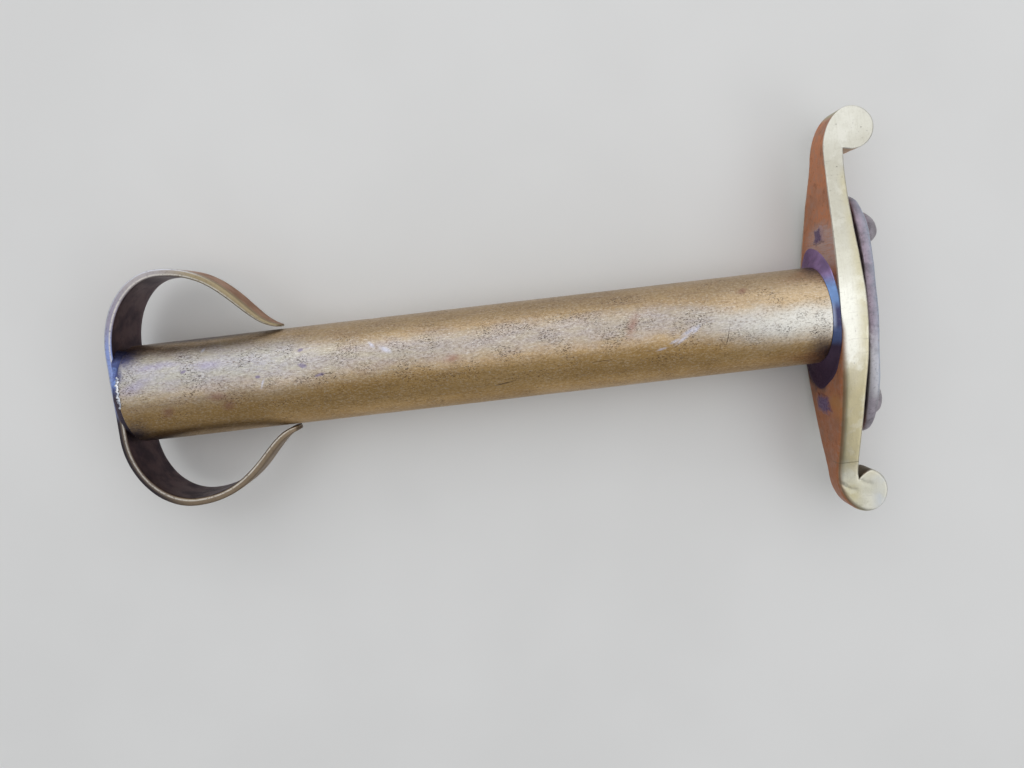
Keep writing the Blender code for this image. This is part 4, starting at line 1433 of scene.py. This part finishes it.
def strap_mesh(loop):
    """Half of the strap, with the values that its material goes by on its points."""
    line = strap_line(loop)
    way = np.gradient(line, axis=0)
    way /= np.linalg.norm(way, axis=1)[:, None]
    length = STRAP_STEP * (len(line) - 1)
    points, values = [], []
    for i, ((x, y), (way_x, way_y)) in enumerate(zip(line, way)):
        share = i / (len(line) - 1)
        thin, wide = strap_half_sizes(loop, share * length, length)
        for a, b in strap_section(thin, wide, STRAP_EDGE):
            points.append((x + a * way_y, loop.side * (y - a * way_x), b))
            inner = 1.0 if a > 0.5 * thin else 0.0
            values.append((inner, edge_wear(loop, share, a, b, wide), a / thin, share))
    size = len(points) // len(line)
    mesh = make_mesh("strap_" + loop.name, points, loft_faces(len(line), size))
    inner, edge, across, along = np.array(values).T
    paint(mesh, inner=inner, edge=edge, across=across, along=along)
    return mesh


def make_strap(material):
    """The strap's two halves, each running from its flat by the handle over its loop to the tip."""
    for loop in LOOPS:
        mesh = strap_mesh(loop)
        wear_mesh(mesh, STRAP_WEAR, seed=13)
        piece = make_piece(mesh, material, "strap_brass", *loop.nodes)
        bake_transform(piece)


def make_strap_solder(material):
    """Solder between the tube's end and the strap, run out over the tube on its upper near side."""
    angle = full_turn(WEB_AROUND)
    strap_face = STRAP_MIDDLE + STRAP_THICKNESS / 2 - WEB_OVERLAP
    lumps = ragged_turn(angle, 3.0, 0.0)
    swell = np.exp(-(((angle - WEB_ANGLE) / WEB_SPREAD) ** 4))
    rings = []
    for share in np.linspace(0.0, 1.0, 12):
        reach = (WEB_REACH + WEB_REACH_VARIES * lumps) * swell
        x = strap_face + share * (TUBE_END + WEB_OVERLAP + reach - strap_face)
        inside = TUBE_RADIUS - WEB_INSET - WEB_HOLLOW * math.sin(math.pi * share)
        height = (WEB_HEIGHT + WEB_HEIGHT_VARIES * lumps) * (1.0 - share) ** 2
        outside = TUBE_RADIUS + WEB_LIFT + height
        radius = inside * (1.0 - swell) + outside * swell + WEB_LUMPS * lumps
        rings.append(np.column_stack([x, radius * np.cos(angle), radius * np.sin(angle)]))
    mesh = ring_mesh("end_solder", rings)
    wear_mesh(mesh, WEB_WEAR, seed=17)
    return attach(make_piece(mesh, material, "solder", "strap_solder"), "handle")


def make_solder_bead(material):
    """Ragged bead of bright solder along the tube's end, on its near side."""
    rings = []
    turn = full_turn(BEAD_AROUND)
    for i, angle in enumerate(np.radians(np.linspace(*BEAD_ENDS, BEAD_RINGS))):
        lump = noise.noise(Vector((i * 0.19, 2.7, 0.0))) + 0.6 * noise.noise(Vector((i * 0.5, 9.1, 0.0)))
        ends = min(1.0, i / BEAD_FADE, (BEAD_RINGS - 1 - i) / BEAD_FADE)
        thick = (BEAD_THICKNESS + BEAD_VARIES * lump) * math.sqrt(ends) + BEAD_LEAST
        middle = TUBE_END + BEAD_SHIFT + BEAD_STRAY * noise.noise(Vector((i * 0.23, 4.4, 1.0)))
        radius = TUBE_RADIUS + BEAD_LIFT + thick * np.sin(turn)
        along = middle + BEAD_FLATNESS * thick * np.cos(turn)
        rings.append(np.column_stack([along, radius * np.sin(angle), radius * np.cos(angle)]))
    mesh = ring_mesh("solder_bead", rings)
    wear_mesh(mesh, BEAD_WEAR, seed=19)
    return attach(make_piece(mesh, material, "solder"), "handle")


# Floor, lights and camera

def make_floor():
    ways = ((-1, -1), (1, -1), (1, 1), (-1, 1))
    corners = [(x * FLOOR_REACH, y * FLOOR_REACH, 0.0) for x, y in ways]
    mesh = bpy.data.meshes.new("floor")
    mesh.from_pydata(corners, [], [(0, 1, 2, 3)])
    mesh.materials.append(floor_paint())
    floor = bpy.data.objects.new("floor", mesh)
    bpy.context.scene.collection.objects.link(floor)


def make_light(name, place, size, power, colour):
    """A lamp turned to the frame's origin."""
    data = bpy.data.lights.new(name, "AREA")
    data.shape = "RECTANGLE"
    data.size, data.size_y = size
    data.energy = power
    data.color = colour
    light = bpy.data.objects.new(name, data)
    way = Vector() - Vector(place)
    light.matrix_world = Matrix.Translation(place) @ way.to_track_quat("-Z", "Y").to_matrix().to_4x4()
    bpy.context.scene.collection.objects.link(light)


def make_lights():
    for light in LIGHTS:
        make_light(*light)
    world = bpy.data.worlds.new("studio")
    world.use_nodes = True
    background = world.node_tree.nodes["Background"]
    background.inputs["Color"].default_value = SKY_COLOUR
    background.inputs["Strength"].default_value = SKY_STRENGTH
    bpy.context.scene.world = world


def make_camera():
    data = bpy.data.cameras.new("camera")
    data.sensor_width = SENSOR_WIDTH
    data.lens = FOCAL_PIXELS / PICTURE_WIDTH * SENSOR_WIDTH
    data.clip_start = CLIP_START
    camera = bpy.data.objects.new("camera", data)
    turn = Matrix.Rotation(CAMERA_PITCH, 4, "X") @ Matrix.Rotation(CAMERA_ROLL, 4, "Z")
    camera.matrix_world = Matrix.Translation(CAMERA_PLACE) @ turn
    bpy.context.scene.collection.objects.link(camera)
    bpy.context.scene.camera = camera


def dress_hidden_nodes():
    """A material on the two plugs that keep their solids."""
    material = hidden_brass()
    for name in ("seat_spigot", "end_plug"):
        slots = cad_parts[name].data.materials
        slots.clear()
        slots.append(material)


make_camera()
make_lights()
make_floor()
make_tube()
make_guard()
iron = dark_iron()
make_plate(iron)
make_rivets(iron)
make_collar()
make_strap(strap_brass())
make_strap_solder(blue_solder())
make_solder_bead(bright_solder())
dress_hidden_nodes()
bpy.context.scene.view_settings.view_transform = "Standard"
